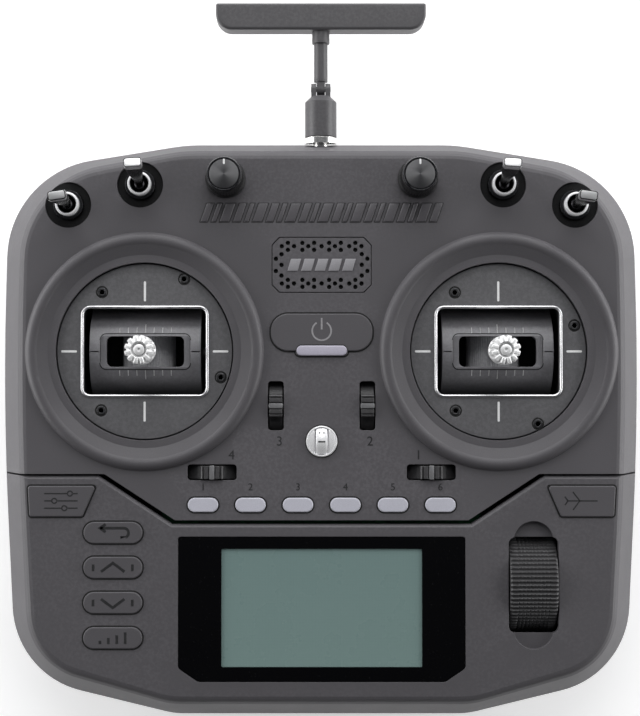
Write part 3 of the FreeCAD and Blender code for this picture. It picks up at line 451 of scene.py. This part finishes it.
def lathe(bm, profile, centre=(0, 0, 0), segments=48, axis="Z", tube=False):
    """A turned shape from (radius, height, shape, dip) rows; shape scales the radius round the turn and
    dip lowers the height. A tube joins its last row to its first, and other shapes get flat ends."""
    rings = []
    for row in profile:
        radius, height = row[:2]
        shape = row[2] if len(row) > 2 and row[2] else (lambda angle: 1.0)
        dip = row[3] if len(row) > 3 else (lambda angle: 0.0)
        ring = []
        for index in range(segments):
            angle = 2 * math.pi * index / segments
            reach = radius * shape(angle)
            across, up = reach * math.cos(angle), reach * math.sin(angle)
            level = height - dip(angle)
            spot = (across, up, level) if axis == "Z" else (across, level, -up)
            ring.append(bm.verts.new(Vector(spot) + Vector(centre)))
        rings.append(ring)
    for lower, upper in zip(rings, rings[1:] + rings[:1] if tube else rings[1:]):
        for index in range(segments):
            bm.faces.new((lower[index - 1], lower[index], upper[index], upper[index - 1]))
    if not tube:
        bm.faces.new(rings[0])
        bm.faces.new(rings[-1])


def knurl(count, depth):
    """Sharp-crested flutes round a turned part."""
    return lambda angle: 1.0 - depth * abs(math.sin(count * angle / 2))


def hexagon(angle):
    return math.cos(math.pi / 6) / math.cos((angle % (math.pi / 3)) - math.pi / 6)


def digits(text, x, y, height, level, thickness=0.06):
    """A numeral as a bmesh, made from the built-in font."""
    curve = bpy.data.curves.new("digits", "FONT")
    curve.body = text
    curve.size = height * 1.4 * MM
    curve.extrude = thickness / 2 * MM
    curve.align_x = "CENTER"
    curve.align_y = "CENTER"
    curve.resolution_u = 6
    holder = bpy.data.objects.new("digits", curve)
    mesh = bpy.data.meshes.new_from_object(holder)
    bm = bmesh.new()
    bm.from_mesh(mesh)
    bmesh.ops.remove_doubles(bm, verts=bm.verts, dist=1e-7)
    bmesh.ops.scale(bm, vec=(1 / MM, 1 / MM, 1 / MM), verts=bm.verts)
    bmesh.ops.translate(bm, vec=(x, y, level), verts=bm.verts)
    bpy.data.objects.remove(holder)
    bpy.data.curves.remove(curve)
    bpy.data.meshes.remove(mesh)
    return bm


def centre_mm(node):
    return middle(node) / MM


FACE = PANEL_Z / MM
PLATE = PLATE_Z / MM

# --- gimbals --------------------------------------------------------------------------------------------


def bezel(name, side):
    """A domed chrome frame round the gimbal window."""
    bm = bmesh.new()
    low, high = (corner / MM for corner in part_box("gimbal_bezels"))
    width, length = 44.95, (high.y - low.y) - 1.15
    x = side * ((high.x - low.x) / 2 - 23.05)
    y = (low.y + high.y) / 2
    path = rounded_box(x, y, width, length, 2.9)
    rings = []
    for step in range(9):
        turn = math.pi * step / 8
        edge = inset_outline(path, -0.57 * math.cos(turn))
        rings.append([bm.verts.new((across, up, low.z + 0.68 * math.sin(turn))) for across, up in edge])
    rings.append(rings[0])
    for lower, upper in zip(rings, rings[1:]):
        for index in range(len(path)):
            bm.faces.new((lower[index - 1], lower[index], upper[index], upper[index - 1]))
    return bm


bezels = bmesh.new()
for name, side in SIDES:
    part = bezel(name, side)
    mesh = bpy.data.meshes.new("part")
    part.to_mesh(mesh)
    bezels.from_mesh(mesh)
    part.free()
    bpy.data.meshes.remove(mesh)
piece("window_bezels", bezels, "chrome", "root", replaced=("gimbal_bezels",))

marks = bmesh.new()
screws = bmesh.new()
seats = bmesh.new()
MARK_WIDTH = 0.8
SCREW_SPOTS = ((-15.4, 21.3), (-15.6, -21.2), (14.1, 26.0), (27.3, -9.3))
for name, side in SIDES:
    hub = GIMBALS[name] / MM
    for up in (-21.6, 21.6):
        tick = rounded_box(hub.x, hub.y + up, MARK_WIDTH, 7.2, 0.3, 3)
        prism(marks, tick, PLATE - 0.02, PLATE + 0.05, 0.03, 1)
    for across in (-27.2, 27.2):
        tick = rounded_box(hub.x + across, hub.y, 5.6, MARK_WIDTH, 0.3, 3)
        prism(marks, tick, PLATE - 0.02, PLATE + 0.05, 0.03, 1)
    for across, up in SCREW_SPOTS:
        spot = (hub.x + across, hub.y - side * up, PLATE)
        lathe(screws, ((1.75, -1.8), (1.75, -0.1), (1.6, 0.12), (1.2, 0.2), (0.98, 0.16, hexagon),
                       (0.9, -1.0, hexagon)), spot, 36)
        # Painted shade: a black ring round each plate screw, standing in for the shade in the gap round its
        # head.
        lathe(seats, ((2.2, -0.5), (2.2, 0.02), (1.8, 0.02), (1.78, -0.5)), spot, 36)
piece("gimbal_marks", marks, "white", "root")
piece("screw_seat_shade", seats, "painted_shade_fill", "root")
piece("plate_screws", screws, "screw", "root", replaced=("gimbal_screws",))

YOKE_RADIUS = 17.0
AXIS_DEPTH = 19.5
SCALE_PITCH = 3.1
TICK_HALF = 0.16
SCALE_LIFT = 0.04
END_TICK = 18.2
SLOT_LINE = (32.2, 12.6, 2.0)
DRUM_RIBS = 25
DRUM_RIB_STEP = 5.2
DRUM_RADIUS = 9.8
TEETH = 12


def crown(angle):
    """Twelve broad teeth with narrow gaps between them."""
    wave = (angle * TEETH / (2 * math.pi)) % 1.0
    return 1.0 if 0.15 < wave < 0.85 else 0.88


def tooth_gap(depth):
    """Gaps that deepen to a point between the teeth."""
    def dip(angle):
        wave = (angle * TEETH / (2 * math.pi)) % 1.0
        return depth * max(0.0, abs(wave - 0.5) * 2 - 0.45) / 0.55
    return dip


for name, _ in SIDES:
    hub = Vector((GIMBALS[name].x / MM, GIMBALS[name].y / MM, FACE - AXIS_DEPTH))
    scale = bmesh.new()
    for row in (-1, 1):
        for tick in range(-3, 4):
            reach = 3.2 if tick == 0 else 2.0
            start, end = 6.7, 6.7 + reach
            spots = []
            for along in (start, (start + end) / 2, end):
                lift = math.sqrt((YOKE_RADIUS + SCALE_LIFT) ** 2 - along ** 2)
                spots.append([scale.verts.new(hub + Vector((tick * SCALE_PITCH + half, row * along, lift)))
                              for half in (-TICK_HALF, TICK_HALF)])
            for first, second in zip(spots, spots[1:]):
                scale.faces.new((first[0], first[1], second[1], second[0]))
    for edge in (-1, 1):
        spots = []
        for along in (-TICK_HALF, TICK_HALF):
            lift = math.sqrt((YOKE_RADIUS + SCALE_LIFT) ** 2 - along ** 2)
            spots.append([scale.verts.new(hub + Vector((edge * END_TICK + half, along, lift)))
                          for half in (-1.5, 1.5)])
        scale.faces.new((spots[0][0], spots[0][1], spots[1][1], spots[1][0]))
    bmesh.ops.solidify(scale, geom=scale.faces[:], thickness=0.06)
    # Painted shade: a black ring round the slot on the yoke, standing in for the shade in the crease round the
    # slot recess.
    line = bmesh.new()
    rings = []
    for grow, lift in ((0.0, -0.3), (0.0, 0.05), (0.35, 0.05), (0.35, -0.3)):
        width, length, radius = SLOT_LINE
        outline = rounded_box(0, 0, width + grow * 2, length + grow * 2, radius + grow, 5)
        rings.append([line.verts.new(hub + Vector((x, y, math.sqrt((YOKE_RADIUS + lift) ** 2 - y ** 2))))
                      for x, y in outline])
    for lower, upper in zip(rings, rings[1:] + rings[:1]):
        for index in range(len(lower)):
            line.faces.new((lower[index - 1], lower[index], upper[index], upper[index - 1]))
    piece(name + "_yoke_slot_shade", line, "painted_shade_fill", name + "_yoke_body")
    piece(name + "_yoke_scale", scale, "grey_print", name + "_yoke_body")

    drum = bmesh.new()
    for band in range(DRUM_RIBS):
        angle = math.radians((band - DRUM_RIBS // 2) * DRUM_RIB_STEP)
        foot = hub + Vector((DRUM_RADIUS * math.sin(angle), 0, DRUM_RADIUS * math.cos(angle)))
        along = Vector((math.cos(angle), 0, -math.sin(angle)))
        out = Vector((math.sin(angle), 0, math.cos(angle)))
        corners = []
        for spread, lift in ((-0.26, -0.05), (-0.14, 0.12), (0.14, 0.12), (0.26, -0.05)):
            corners.append([drum.verts.new(foot + along * spread + out * lift + Vector((0, up, 0)))
                            for up in (-8.6, 8.6)])
        drum.faces.new([pair[0] for pair in corners])
        drum.faces.new([pair[1] for pair in corners][::-1])
        for index in range(4):
            first, second = corners[index - 1], corners[index]
            drum.faces.new((first[0], first[1], second[1], second[0]))
    piece(name + "_drum_ribs", drum, "drum", name + "_stick_body")

    tip = bmesh.new()
    low, high = (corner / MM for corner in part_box(name + "_stick_tip"))
    bottom, top = low.z, high.z

    spot = (hub.x, hub.y, 0)
    lathe(tip, ((2.0, bottom + 0.02), (4.6, bottom + 0.02), (5.1, bottom + 0.5), (5.1, bottom + 2.2),
                (4.7, bottom + 2.6), (4.7, bottom + 3.0), (5.15, bottom + 3.4, crown),
                (5.15, top - 0.9, crown, tooth_gap(1.4)), (4.9, top - 0.25, crown, tooth_gap(1.2)),
                (4.4, top - 0.05, None, tooth_gap(1.1)), (2.9, top - 0.05), (2.7, top - 0.4),
                (2.6, top - 1.6), (2.1, top - 1.7), (2.0, top - 2.5)), spot, 120)
    piece(name + "_stick_crown", tip, "aluminium", name + "_stick_body", 30,
          (name + "_stick_tip",))
    stud = bmesh.new()
    lathe(stud, ((1.85, top - 3.0), (1.95, top - 1.0), (1.9, top - 0.35), (1.6, top - 0.15),
                 (0.7, top - 0.15, hexagon), (0.65, top - 0.5, hexagon)), spot, 36)
    piece(name + "_stick_stud", stud, "aluminium", name + "_stick_body")

# --- knobs and toggles ---------------------------------------------------------------------------------

for name, _ in SIDES:
    hub = centre_mm(name + "_knob")
    low, high = (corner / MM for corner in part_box(name + "_knob"))
    foot, top = low.z, high.z
    grip = knurl(40, 0.05)
    spot = (hub.x, hub.y, 0)
    shell = bmesh.new()
    lathe(shell, ((3.1, foot + 0.1), (6.7, foot), (7.2, foot + 0.4), (7.2, foot + 1.8), (6.7, foot + 2.6),
                  (6.45, foot + 3.0), (6.6, foot + 3.4, grip), (6.6, top - 2.2, grip), (6.3, top - 1.6),
                  (6.1, top - 1.4), (5.3, top - 1.4)), spot, 160)
    piece(name + "_knob_grip", shell, "knob_black", name + "_knob_body", 25,
          (name + "_knob",))
    rim = bmesh.new()
    lathe(rim, ((6.0, top - 1.5), (6.15, top - 1.2), (6.1, top - 0.5), (5.9, top - 0.15), (5.7, top - 0.1),
                (5.6, top - 0.5)), spot, 96)
    piece(name + "_knob_rim", rim, "black_chrome", name + "_knob_body", 30)
    cap = bmesh.new()
    lathe(cap, ((5.15, top - 0.6), (5.15, top - 0.2), (5.0, top - 0.12), (0.3, top - 0.02)), spot, 96)
    piece(name + "_knob_cap", cap, "spun_" + name, name + "_knob_body", 30)
    pointer = bmesh.new()
    prism(pointer, rounded_box(hub.x, hub.y + 4.3, 0.7, 1.9, 0.3, 3), top - 0.3, top + 0.0, 0.05, 1)
    piece(name + "_knob_pointer", pointer, "white", name + "_knob_body")

TOGGLE_PLACES = {"outer": (91.0, 80.0), "inner": (65.2, 87.3)}
nuts = bmesh.new()
threads = bmesh.new()
bores = bmesh.new()
BUSHING_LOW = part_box("switch_bushings")[0].z / MM
BUSHING_TOP = top_of("switch_bushings") / MM
THREAD = [(4.2 if turn % 2 else 4.05, FACE + 1.2 + 0.25 * turn) for turn in range(8)]
for _, side in SIDES:
    for kind in ("outer", "inner"):
        spot = (side * TOGGLE_PLACES[kind][0], TOGGLE_PLACES[kind][1], 0)
        lathe(nuts, ((4.3, FACE - 1.15), (5.6, FACE - 1.15), (5.6, FACE - 0.1, knurl(24, 0.05)),
                     (5.3, FACE + 0.3), (4.35, FACE + 0.35)), spot, 72, tube=True)
        lathe(threads, [(3.35, BUSHING_LOW), (4.2, BUSHING_LOW), *THREAD, (4.25, BUSHING_TOP - 0.6),
                        (4.1, BUSHING_TOP - 0.1), (3.9, BUSHING_TOP), (3.5, BUSHING_TOP),
                        (3.35, BUSHING_TOP - 0.3)],
              spot, 72, tube=True)
        # Painted shade: a black lining in each bushing bore, standing in for the shade inside the bore.
        lathe(bores, ((3.4, FACE - 3.0), (3.4, BUSHING_TOP - 0.35), (3.3, BUSHING_TOP - 0.25),
                      (3.3, FACE - 3.0)), spot, 72, tube=True)
piece("switch_nuts", nuts, "black_chrome", "root", 30)
piece("switch_threads", threads, "lug", "root", 30, ("switch_bushings",))
piece("switch_bore_shade", bores, "painted_shade_fill", "root")

CAP_WIDTH = 6.28
CAP_LENGTH = 3.38
CAP_FOOT = 23.0
CAP_TOP = 26.02
TOGGLE_PIVOT = FACE + 1.0
TOGGLE_LEAN = {"outer": 0.0, "inner": 9.0}
TOGGLE_TWIST = {"outer": 8.0, "inner": 4.0}
for name, side in SIDES:
    for kind in ("outer", "inner"):
        cap = bmesh.new()
        prism(cap, rounded_box(0, 0, CAP_WIDTH, CAP_LENGTH, 1.0, 5), CAP_FOOT, CAP_TOP, 0.5, 5)
        turn = (Matrix.Rotation(math.radians(-TOGGLE_LEAN[kind]), 4, "X")
                @ Matrix.Rotation(math.radians(-side * TOGGLE_TWIST[kind]), 4, "Z"))
        x, y = TOGGLE_PLACES[kind]
        bmesh.ops.transform(cap, matrix=Matrix.Translation((side * x, y, TOGGLE_PIVOT)) @ turn, verts=cap.verts)
        piece(f"{name}_{kind}_toggle_cap", cap, "toggle", f"{name}_{kind}_toggle_body")

# --- front face ----------------------------------------------------------------------------------------

ribs = bmesh.new()
# Painted shade: the thin dark outlines round the raised ribs stand in for the shade where the ribs meet the
# face.
outlines = bmesh.new()
RIB_WIDTHS = (2.5, 1.5, 3.4) * 7 + (2.5,)
RIB_GAP = 1.45
RIB_ROW = 77.2
RIB_LENGTH = 6.6
reach = -(sum(RIB_WIDTHS) + RIB_GAP * (len(RIB_WIDTHS) - 1)) / 2
for width in RIB_WIDTHS:
    bar = slanted_bar(reach + width / 2, RIB_ROW, width, RIB_LENGTH)
    prism(ribs, bar, FACE - 0.1, FACE + 0.4, 0.35, 3)
    prism(outlines, inset_outline(bar, -0.3), FACE - 0.1, FACE + 0.05, 0.03, 1)
    reach += width + RIB_GAP
piece("slanted_ribs", ribs, "case_sheen", "root")
piece("rib_foot_shade", outlines, "print", "root")

badge = bmesh.new()
grille = centre_mm("speaker_grille")
grille_top = top_of("speaker_grille") / MM
BADGE_BARS = 5
BADGE_PITCH = 4.9
for index in range(BADGE_BARS):
    bar = slanted_bar(grille.x + (index - BADGE_BARS // 2) * BADGE_PITCH, grille.y, 3.7, 4.4, 0.3)
    prism(badge, bar, grille_top - 0.1, grille_top + 0.3, 0.2, 2)
piece("grille_badge", badge, "badge", "root")

# Painted shade: a black sheet under the grille, so its holes read as dark as the shade inside them.
grille_shade_sheet = bmesh.new()
prism(grille_shade_sheet, rounded_box(grille.x, grille.y, 34.2, 18.2, 3.0, 4), grille_top - 1.3, grille_top - 1.1, 0.05)
piece("grille_hole_shade", grille_shade_sheet, "painted_shade_fill", "root")

power = centre_mm("power_button")
power_top = top_of("power_button") / MM
icon = bmesh.new()
stroke(icon, arc_points(power.x, 34.7, 3.4, 122, 418), 0.6, power_top - 0.05, power_top + 0.07)
stroke(icon, [(power.x, 35.2), (power.x, 39.3)], 0.6, power_top - 0.05, power_top + 0.07)
piece("power_mark", icon, "pale_print", "power_button_body")
# Painted shade: a black ring round the power light, standing in for the shade in the gap round it.
surround = bmesh.new()
prism(surround, rounded_box(power.x, 27.85, 18.4, 4.0, 1.95, 8), power_top - 0.4, power_top + 0.1, 0.1)
piece("power_light_gap_shade", surround, "painted_shade_fill", "power_button_body")
lamp = bmesh.new()
prism(lamp, rounded_box(power.x, 27.65, 18.0, 3.6, 1.75, 8), power_top - 0.4, power_top + 0.45, 0.4, 4)
piece("power_light", lamp, "lamp", "power_button_body")

for number in range(1, 7):
    button = centre_mm(f"light_button_{number}")
    bm = digits(str(number), button.x, button.y + 6.3, 2.6, FACE + 0.01)
    piece(f"number_{number}", bm, "print", "root")

TRIM_NUMBERS = ((3, -15.1, -4.9), (2, 17.3, -4.9), (4, -32.2, -9.8), (1, 34.6, -9.8))
for number, x, y in TRIM_NUMBERS:
    bm = digits(str(number), x, y, 3.4, FACE + 0.01)
    piece(f"trim_number_{number}", bm, "print", "root")

for name, _ in SIDES:
    for kind in ("upright", "level"):
        node = f"{name}_{kind}_trim"
        low, high = (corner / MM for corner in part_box(node))
        hub = centre_mm(node)
        width, length = (5.0, 1.7) if kind == "upright" else (1.7, 5.0)
        band = bmesh.new()
        prism(band, rounded_box(hub.x, hub.y, width, length, 0.3, 3), high.z - 0.5, high.z + 0.12, 0.12, 2)
        piece(node + "_band", band, "trim_grey", node + "_body")

# --- painted shade in the gaps round the keys ---


def gap_ring(bm, outline):
    """Painted shade: a black ring that fills the gap round a key and reaches just proud of the face, in place
    of the shade in the gap.
    """
    inner = inset_outline(outline, -0.06)
    outer = inset_outline(outline, -GAP_WIDTH)
    rings = []
    for edge, level in ((inner, -0.6), (inner, 0.0), (outer, 0.02), (outer, -0.6)):
        rings.append([bm.verts.new((x, y, FACE + level)) for x, y in edge])
    for lower, upper in zip(rings, rings[1:] + rings[:1]):
        for index in range(len(lower)):
            bm.faces.new((lower[index - 1], lower[index], upper[index], upper[index - 1]))


GAP_WIDTH = 0.55
KEY_SIZE = (21.0, 7.7)
KEY_RADIUS = 3.8
BUTTON_SIZE = (10.8, 5.1)
BUTTON_RADIUS = 2.5
gaps = bmesh.new()
for node in ("return_key", "page_up_key", "page_down_key", "telemetry_key"):
    hub = centre_mm(node)
    gap_ring(gaps, rounded_box(hub.x, hub.y, *KEY_SIZE, KEY_RADIUS, 8))
for number in range(1, 7):
    hub = centre_mm(f"light_button_{number}")
    gap_ring(gaps, rounded_box(hub.x, hub.y, *BUTTON_SIZE, BUTTON_RADIUS, 8))
trapezoid = ((105.0, -20.7, 1), (80.7, -20.7, 1), (85.5, -31.7, 1), (104.4, -31.7, 1))
gap_ring(gaps, rounded_polygon(trapezoid))
gap_ring(gaps, rounded_polygon([(-x, y, radius) for x, y, radius in reversed(trapezoid)]))
power_right = ((9.3, 25.7, 1.5), (9.3, 27.5, 0), (18.2, 27.5, 6.2), (18.2, 40.9, 6.2))
power_left = [(-x, y, radius) for x, y, radius in reversed(power_right)]
gap_ring(gaps, rounded_polygon([*power_right, *power_left]))
piece("key_gap_shade", gaps, "painted_shade_fill", "root")

# --- key marks -----------------------------------------------------------------------------------------


def key_mark(node, lines, width=1.0):
    """Dark strokes on a key, from points relative to its middle: printed marks on most keys, painted shade of
    engraved marks on the system and model keys.
    """
    bm = bmesh.new()
    hub = centre_mm(node)
    level = top_of(node) / MM
    for points in lines:
        stroke(bm, [(hub.x + x, hub.y + y) for x, y in points], width, level - 0.05, level + 0.04, 0.03)
    piece(node + "_mark", bm, "print", node + "_body")


key_mark("return_key", [[(2.6, -1.7), (4.0, -1.7)] + arc_points(3.9, 0, 1.7, -90, 90, 10) + [(-4.6, 1.7)],
                        [(-2.6, 3.1), (-4.6, 1.7), (-2.6, 0.3)]])
SIDE_TICKS = [[(side * 7.0, -1.2), (side * 7.0, 1.2)] for side in (-1, 1)]
key_mark("page_up_key", [[(-4.2, -1.4), (0, 1.7), (4.2, -1.4)], *SIDE_TICKS])
key_mark("page_down_key", [[(-4.2, 1.4), (0, -1.7), (4.2, 1.4)], *SIDE_TICKS])
SIGNAL_BARS = ((-4.5, 1.2), (-1.5, 2.2), (1.5, 3.2), (4.5, 4.2))
key_mark("telemetry_key", [[(x, -2.1), (x, -2.1 + rise)] for x, rise in SIGNAL_BARS])
# Painted shade: the system and model key marks are engraved in the key's own colour, and these dark strokes
# stand for the shade in the engraving.
slider_rows = []
for up, knob in ((2.6, 3.2), (0.0, -2.4), (-2.6, 1.2)):
    slider_rows += [[(-6.0, up), (knob - 1.1, up)], [(knob + 1.1, up), (6.0, up)],
                    arc_points(knob, up, 0.9, 0, 350, 12)]
key_mark("system_key", slider_rows, 0.5)
key_mark("model_key", [[(-5.4, 0), (5.4, 0)], [(-1.0, 0), (-3.4, 3.2)], [(-1.0, 0), (-3.4, -3.2)],
                       [(-5.2, 0), (-6.3, 1.5)], [(-5.2, 0), (-6.3, -1.5)]], 0.5)

# --- strap lug -----------------------------------------------------------------------------------------

lug = bmesh.new()
hub = centre_mm("strap_lug")
lug_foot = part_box("strap_lug")[0].z / MM
spot = (hub.x, hub.y, 0)
lathe(lug, ((5.6, lug_foot), (5.6, FACE + 0.2), (5.4, FACE + 0.75), (5.15, FACE + 0.85), (4.95, FACE + 0.6),
            (4.9, FACE - 0.5)), spot, 72)
piece("lug_cup", lug, "lug", "root", 30, ("strap_lug",))
wings = bmesh.new()
for side in (-1, 1):
    curve = arc_points(hub.x, hub.y, 5.0, -60, 60, 14)
    outline = curve if side == 1 else [(2 * hub.x - x, y) for x, y in curve][::-1]
    prism(wings, outline, FACE - 0.6, FACE + 0.75, 0.3, 3)
piece("lug_wings", wings, "lug", "root")
strap = bmesh.new()
arch = []
for step in range(13):
    up = -4.6 + 9.2 * step / 12
    lift = FACE + 0.2 + 1.5 * math.cos(up / 4.6 * math.pi / 2)
    arch.append((up, lift))
rows = []
for up, lift in arch:
    rows.append([strap.verts.new((hub.x + x, hub.y + up, lift + crown)) for x, crown in
                 ((-2.0, -0.6), (-2.0, 0.0), (-1.5, 0.28), (0, 0.42), (1.5, 0.28), (2.0, 0.0), (2.0, -0.6))])
for first, second in zip(rows, rows[1:]):
    for index in range(7):
        strap.faces.new((first[index - 1], first[index], second[index], second[index - 1]))
strap.faces.new(rows[0])
strap.faces.new(rows[-1])
piece("lug_bridge", strap, "lug", "root", 40)
# Painted shade: black bars on the lug bridge stand in for the shade in its slots and centre gap.
slit = bmesh.new()
prism(slit, rounded_box(hub.x, hub.y - 0.1, 2.6, 0.5, 0.2, 3), FACE + 1.9, FACE + 2.16, 0.05, 1)
for x in (-0.8, 0.8):
    prism(slit, rounded_box(hub.x + x, hub.y + 3.1, 0.45, 0.45, 0.2, 3), FACE + 0.9, FACE + 1.62, 0.05, 1)
piece("lug_slit_shade", slit, "painted_shade_fill", "root")
# Painted shade: a black ring round the lug cup and a black plate under the bridge stand in for the shade in the
# well.
well = bmesh.new()
lathe(well, ((5.95, FACE - 1.0), (5.95, FACE + 0.03), (5.62, FACE + 0.03), (5.55, FACE - 1.0)), spot, 72)
prism(well, rounded_box(hub.x, hub.y, 6.0, 8.6, 1.0, 4), FACE - 0.7, FACE - 0.55, 0.02, 1)
piece("lug_well_shade", well, "painted_shade_fill", "root")

# --- scroll roller ---------------------------------------------------------------------------------------

roller = bmesh.new()
hub = centre_mm("scroll_roller")
roller_low, roller_high = (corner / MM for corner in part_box("scroll_roller"))
RADIUS = (roller_high.z - roller_low.z) / 2
WIDTH = (roller_high.x - roller_low.x) / 2
RIB_COUNT = 74
profile = [(-WIDTH, 1.6), (-WIDTH, 0.7), (-0.94 * WIDTH, 0.15), (-0.9 * WIDTH, 0.0)]
for cut in range(9):
    along = (cut - 4) * 1.35
    profile += [(along - 0.3, 0.0), (along - 0.16, 0.3), (along + 0.16, 0.3), (along + 0.3, 0.0)]
profile += [(-along, drop) for along, drop in reversed(profile[:4])]
rings = []
for along, drop in profile:
    ring = []
    for index in range(RIB_COUNT * 6):
        angle = 2 * math.pi * index / (RIB_COUNT * 6)
        valley = (0.0, 0.0, 0.4, 0.75, 0.75, 0.4)[index % 6]
        reach = RADIUS - (drop if drop > 1.0 else max(drop, valley))
        ring.append(roller.verts.new((hub.x + along, hub.y + reach * math.sin(angle),
                                      hub.z + reach * math.cos(angle))))
    rings.append(ring)
for lower, upper in zip(rings, rings[1:]):
    for index in range(len(lower)):
        roller.faces.new((lower[index - 1], lower[index], upper[index], upper[index - 1]))
roller.faces.new(rings[0])
roller.faces.new(rings[-1])
piece("roller_ribs", roller, "soft_black", "roller_body", 40, ("scroll_roller",))

# --- antenna ---------------------------------------------------------------------------------------------

mast = bmesh.new()
mast_low, mast_high = (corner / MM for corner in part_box("antenna_mast"))
ANTENNA_Z = (mast_low.z + mast_high.z) / 2
rows = [(2.2, 128.6), (2.53, 129.0), (2.53, 142.3), (2.35, 142.5), (2.53, 142.8), (3.1, 142.8), (3.28, 143.1),
        (3.28, 144.0), (3.18, 146.9), (2.9, 146.9)]
lathe(mast, rows, (0, 0, ANTENNA_Z), 48, "Y")
piece("mast_sleeve", mast, "antenna", "antenna_mast_body", 30)

# --- rear --------------------------------------------------------------------------------------------------

heads = bmesh.new()
SCREW_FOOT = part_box("case_screws")[0].z / MM
for x in (-50, 50):
    for y in (80, 0, -84):
        spot = (x, y, SCREW_FOOT)
        lathe(heads, ((1.1, 1.1, hexagon), (1.2, 0.0, hexagon), (2.2, 0.0), (2.65, 0.35), (2.7, 1.9)),
              spot, 36)
piece("rear_screw_heads", heads, "screw", "root", 30, ("case_screws",))

grips = bmesh.new()
low, high = (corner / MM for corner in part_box("side_grips"))
STUD_PITCH = 3.4
STUD_ROWS = 24
STUD_COLUMNS = 8
for side in (-1, 1):
    for row in range(STUD_ROWS):
        for column in range(STUD_COLUMNS):
            x = side * (high.x - 4.2 - column * STUD_PITCH - (row % 2) * STUD_PITCH / 2)
            y = high.y - 4.5 - row * STUD_PITCH
            if abs(x) < 71 or y < low.y + 8:
                continue
            rings = []
            for reach, level in ((1.3, 0.3), (1.15, 0.0), (0.9, -0.12)):
                rings.append([grips.verts.new((x + reach * math.cos(math.pi / 3 * corner),
                                               y + reach * math.sin(math.pi / 3 * corner), low.z + level))
                              for corner in range(6)])
            for lower, upper in zip(rings, rings[1:]):
                for corner in range(6):
                    grips.faces.new((lower[corner - 1], lower[corner], upper[corner], upper[corner - 1]))
            grips.faces.new(rings[-1])
piece("grip_studs", grips, "rubber", "root")

# --- studio ------------------------------------------------------------------------------------------


def area_light(name, place, target, width, height, power):
    data = bpy.data.lights.new(name, "AREA")
    data.shape = "RECTANGLE"
    data.size = width
    data.size_y = height
    data.energy = power
    light = bpy.data.objects.new(name, data)
    scene.collection.objects.link(light)
    light.location = place
    light.rotation_euler = (Vector(target) - Vector(place)).to_track_quat("-Z", "Y").to_euler()


def studio():
    """Soft light from the back and both sides; nothing straight overhead, so flat gloss stays black."""
    world = bpy.data.worlds.new("studio")
    world.use_nodes = True
    tree = world.node_tree
    direction = tree.nodes.new("ShaderNodeTexCoord")
    slope = tree.nodes.new("ShaderNodeVectorMath")
    slope.operation = "DOT_PRODUCT"
    slope.inputs[1].default_value = (0.0, 0.5, -0.42)
    level = tree.nodes.new("ShaderNodeMapRange")
    level.inputs["From Min"].default_value = -0.5
    level.inputs["From Max"].default_value = 0.5
    level.inputs["To Min"].default_value = 0.02
    level.inputs["To Max"].default_value = 0.55
    tree.links.new(direction.outputs["Generated"], slope.inputs[0])
    tree.links.new(slope.outputs["Value"], level.inputs["Value"])
    tree.links.new(level.outputs["Result"], tree.nodes["Background"].inputs["Strength"])
    tree.nodes["Background"].inputs["Color"].default_value = (0.93, 0.95, 1.0, 1)
    scene.world = world
    for name, side in SIDES:
        area_light(name + "_softbox", (side * 0.85, 0.12, 0.28), (0, 0, 0.03), 1.1, 0.45, 7)
    area_light("back_softbox", (0, 0.95, 0.42), (0, 0, 0.03), 1.3, 0.5, 7)
    area_light("high_back", (0, 0.85, 1.15), (0, 0, 0.03), 0.9, 0.5, 3.5)
    bpy.ops.mesh.primitive_plane_add(size=6, location=(0, 0, -0.0002))
    floor = bpy.context.object
    floor.name = "floor"
    shader = Shader("floor_paper", 0.9)
    tone = shader.ramp(shader.noise(3), ((0.3, 0.86), (0.7, 0.9)))
    shader.link(tone, shader.bsdf.inputs["Base Color"])
    shader.bsdf.inputs["Emission Color"].default_value = (1, 1, 1, 1)
    shader.bsdf.inputs["Emission Strength"].default_value = 0.4
    floor.data.materials.append(shader.material)


DISTANCE = 0.560
SENSOR = 36
VIEW_HEIGHT = 0.2563
VIEW_MIDDLE = -0.0006


def main_camera():
    """Looks down on the face from arm's length, and shifts the picture instead of turning the camera."""
    data = bpy.data.cameras.new("camera")
    camera = bpy.data.objects.new("camera", data)
    scene.collection.objects.link(camera)
    data.sensor_fit = "VERTICAL"
    data.sensor_height = SENSOR
    data.lens = SENSOR * DISTANCE / VIEW_HEIGHT
    data.clip_start = 0.01
    place = Vector((-0.008, 0.0102, PANEL_Z + DISTANCE))
    aim = Vector((place.x, 0.0250, PANEL_Z))
    data.shift_x = (VIEW_MIDDLE - place.x) / VIEW_HEIGHT
    camera.location = place
    camera.rotation_euler = (aim - place).to_track_quat("-Z", "Y").to_euler()
    scene.camera = camera


scene.view_settings.view_transform = "Standard"
studio()
main_camera()
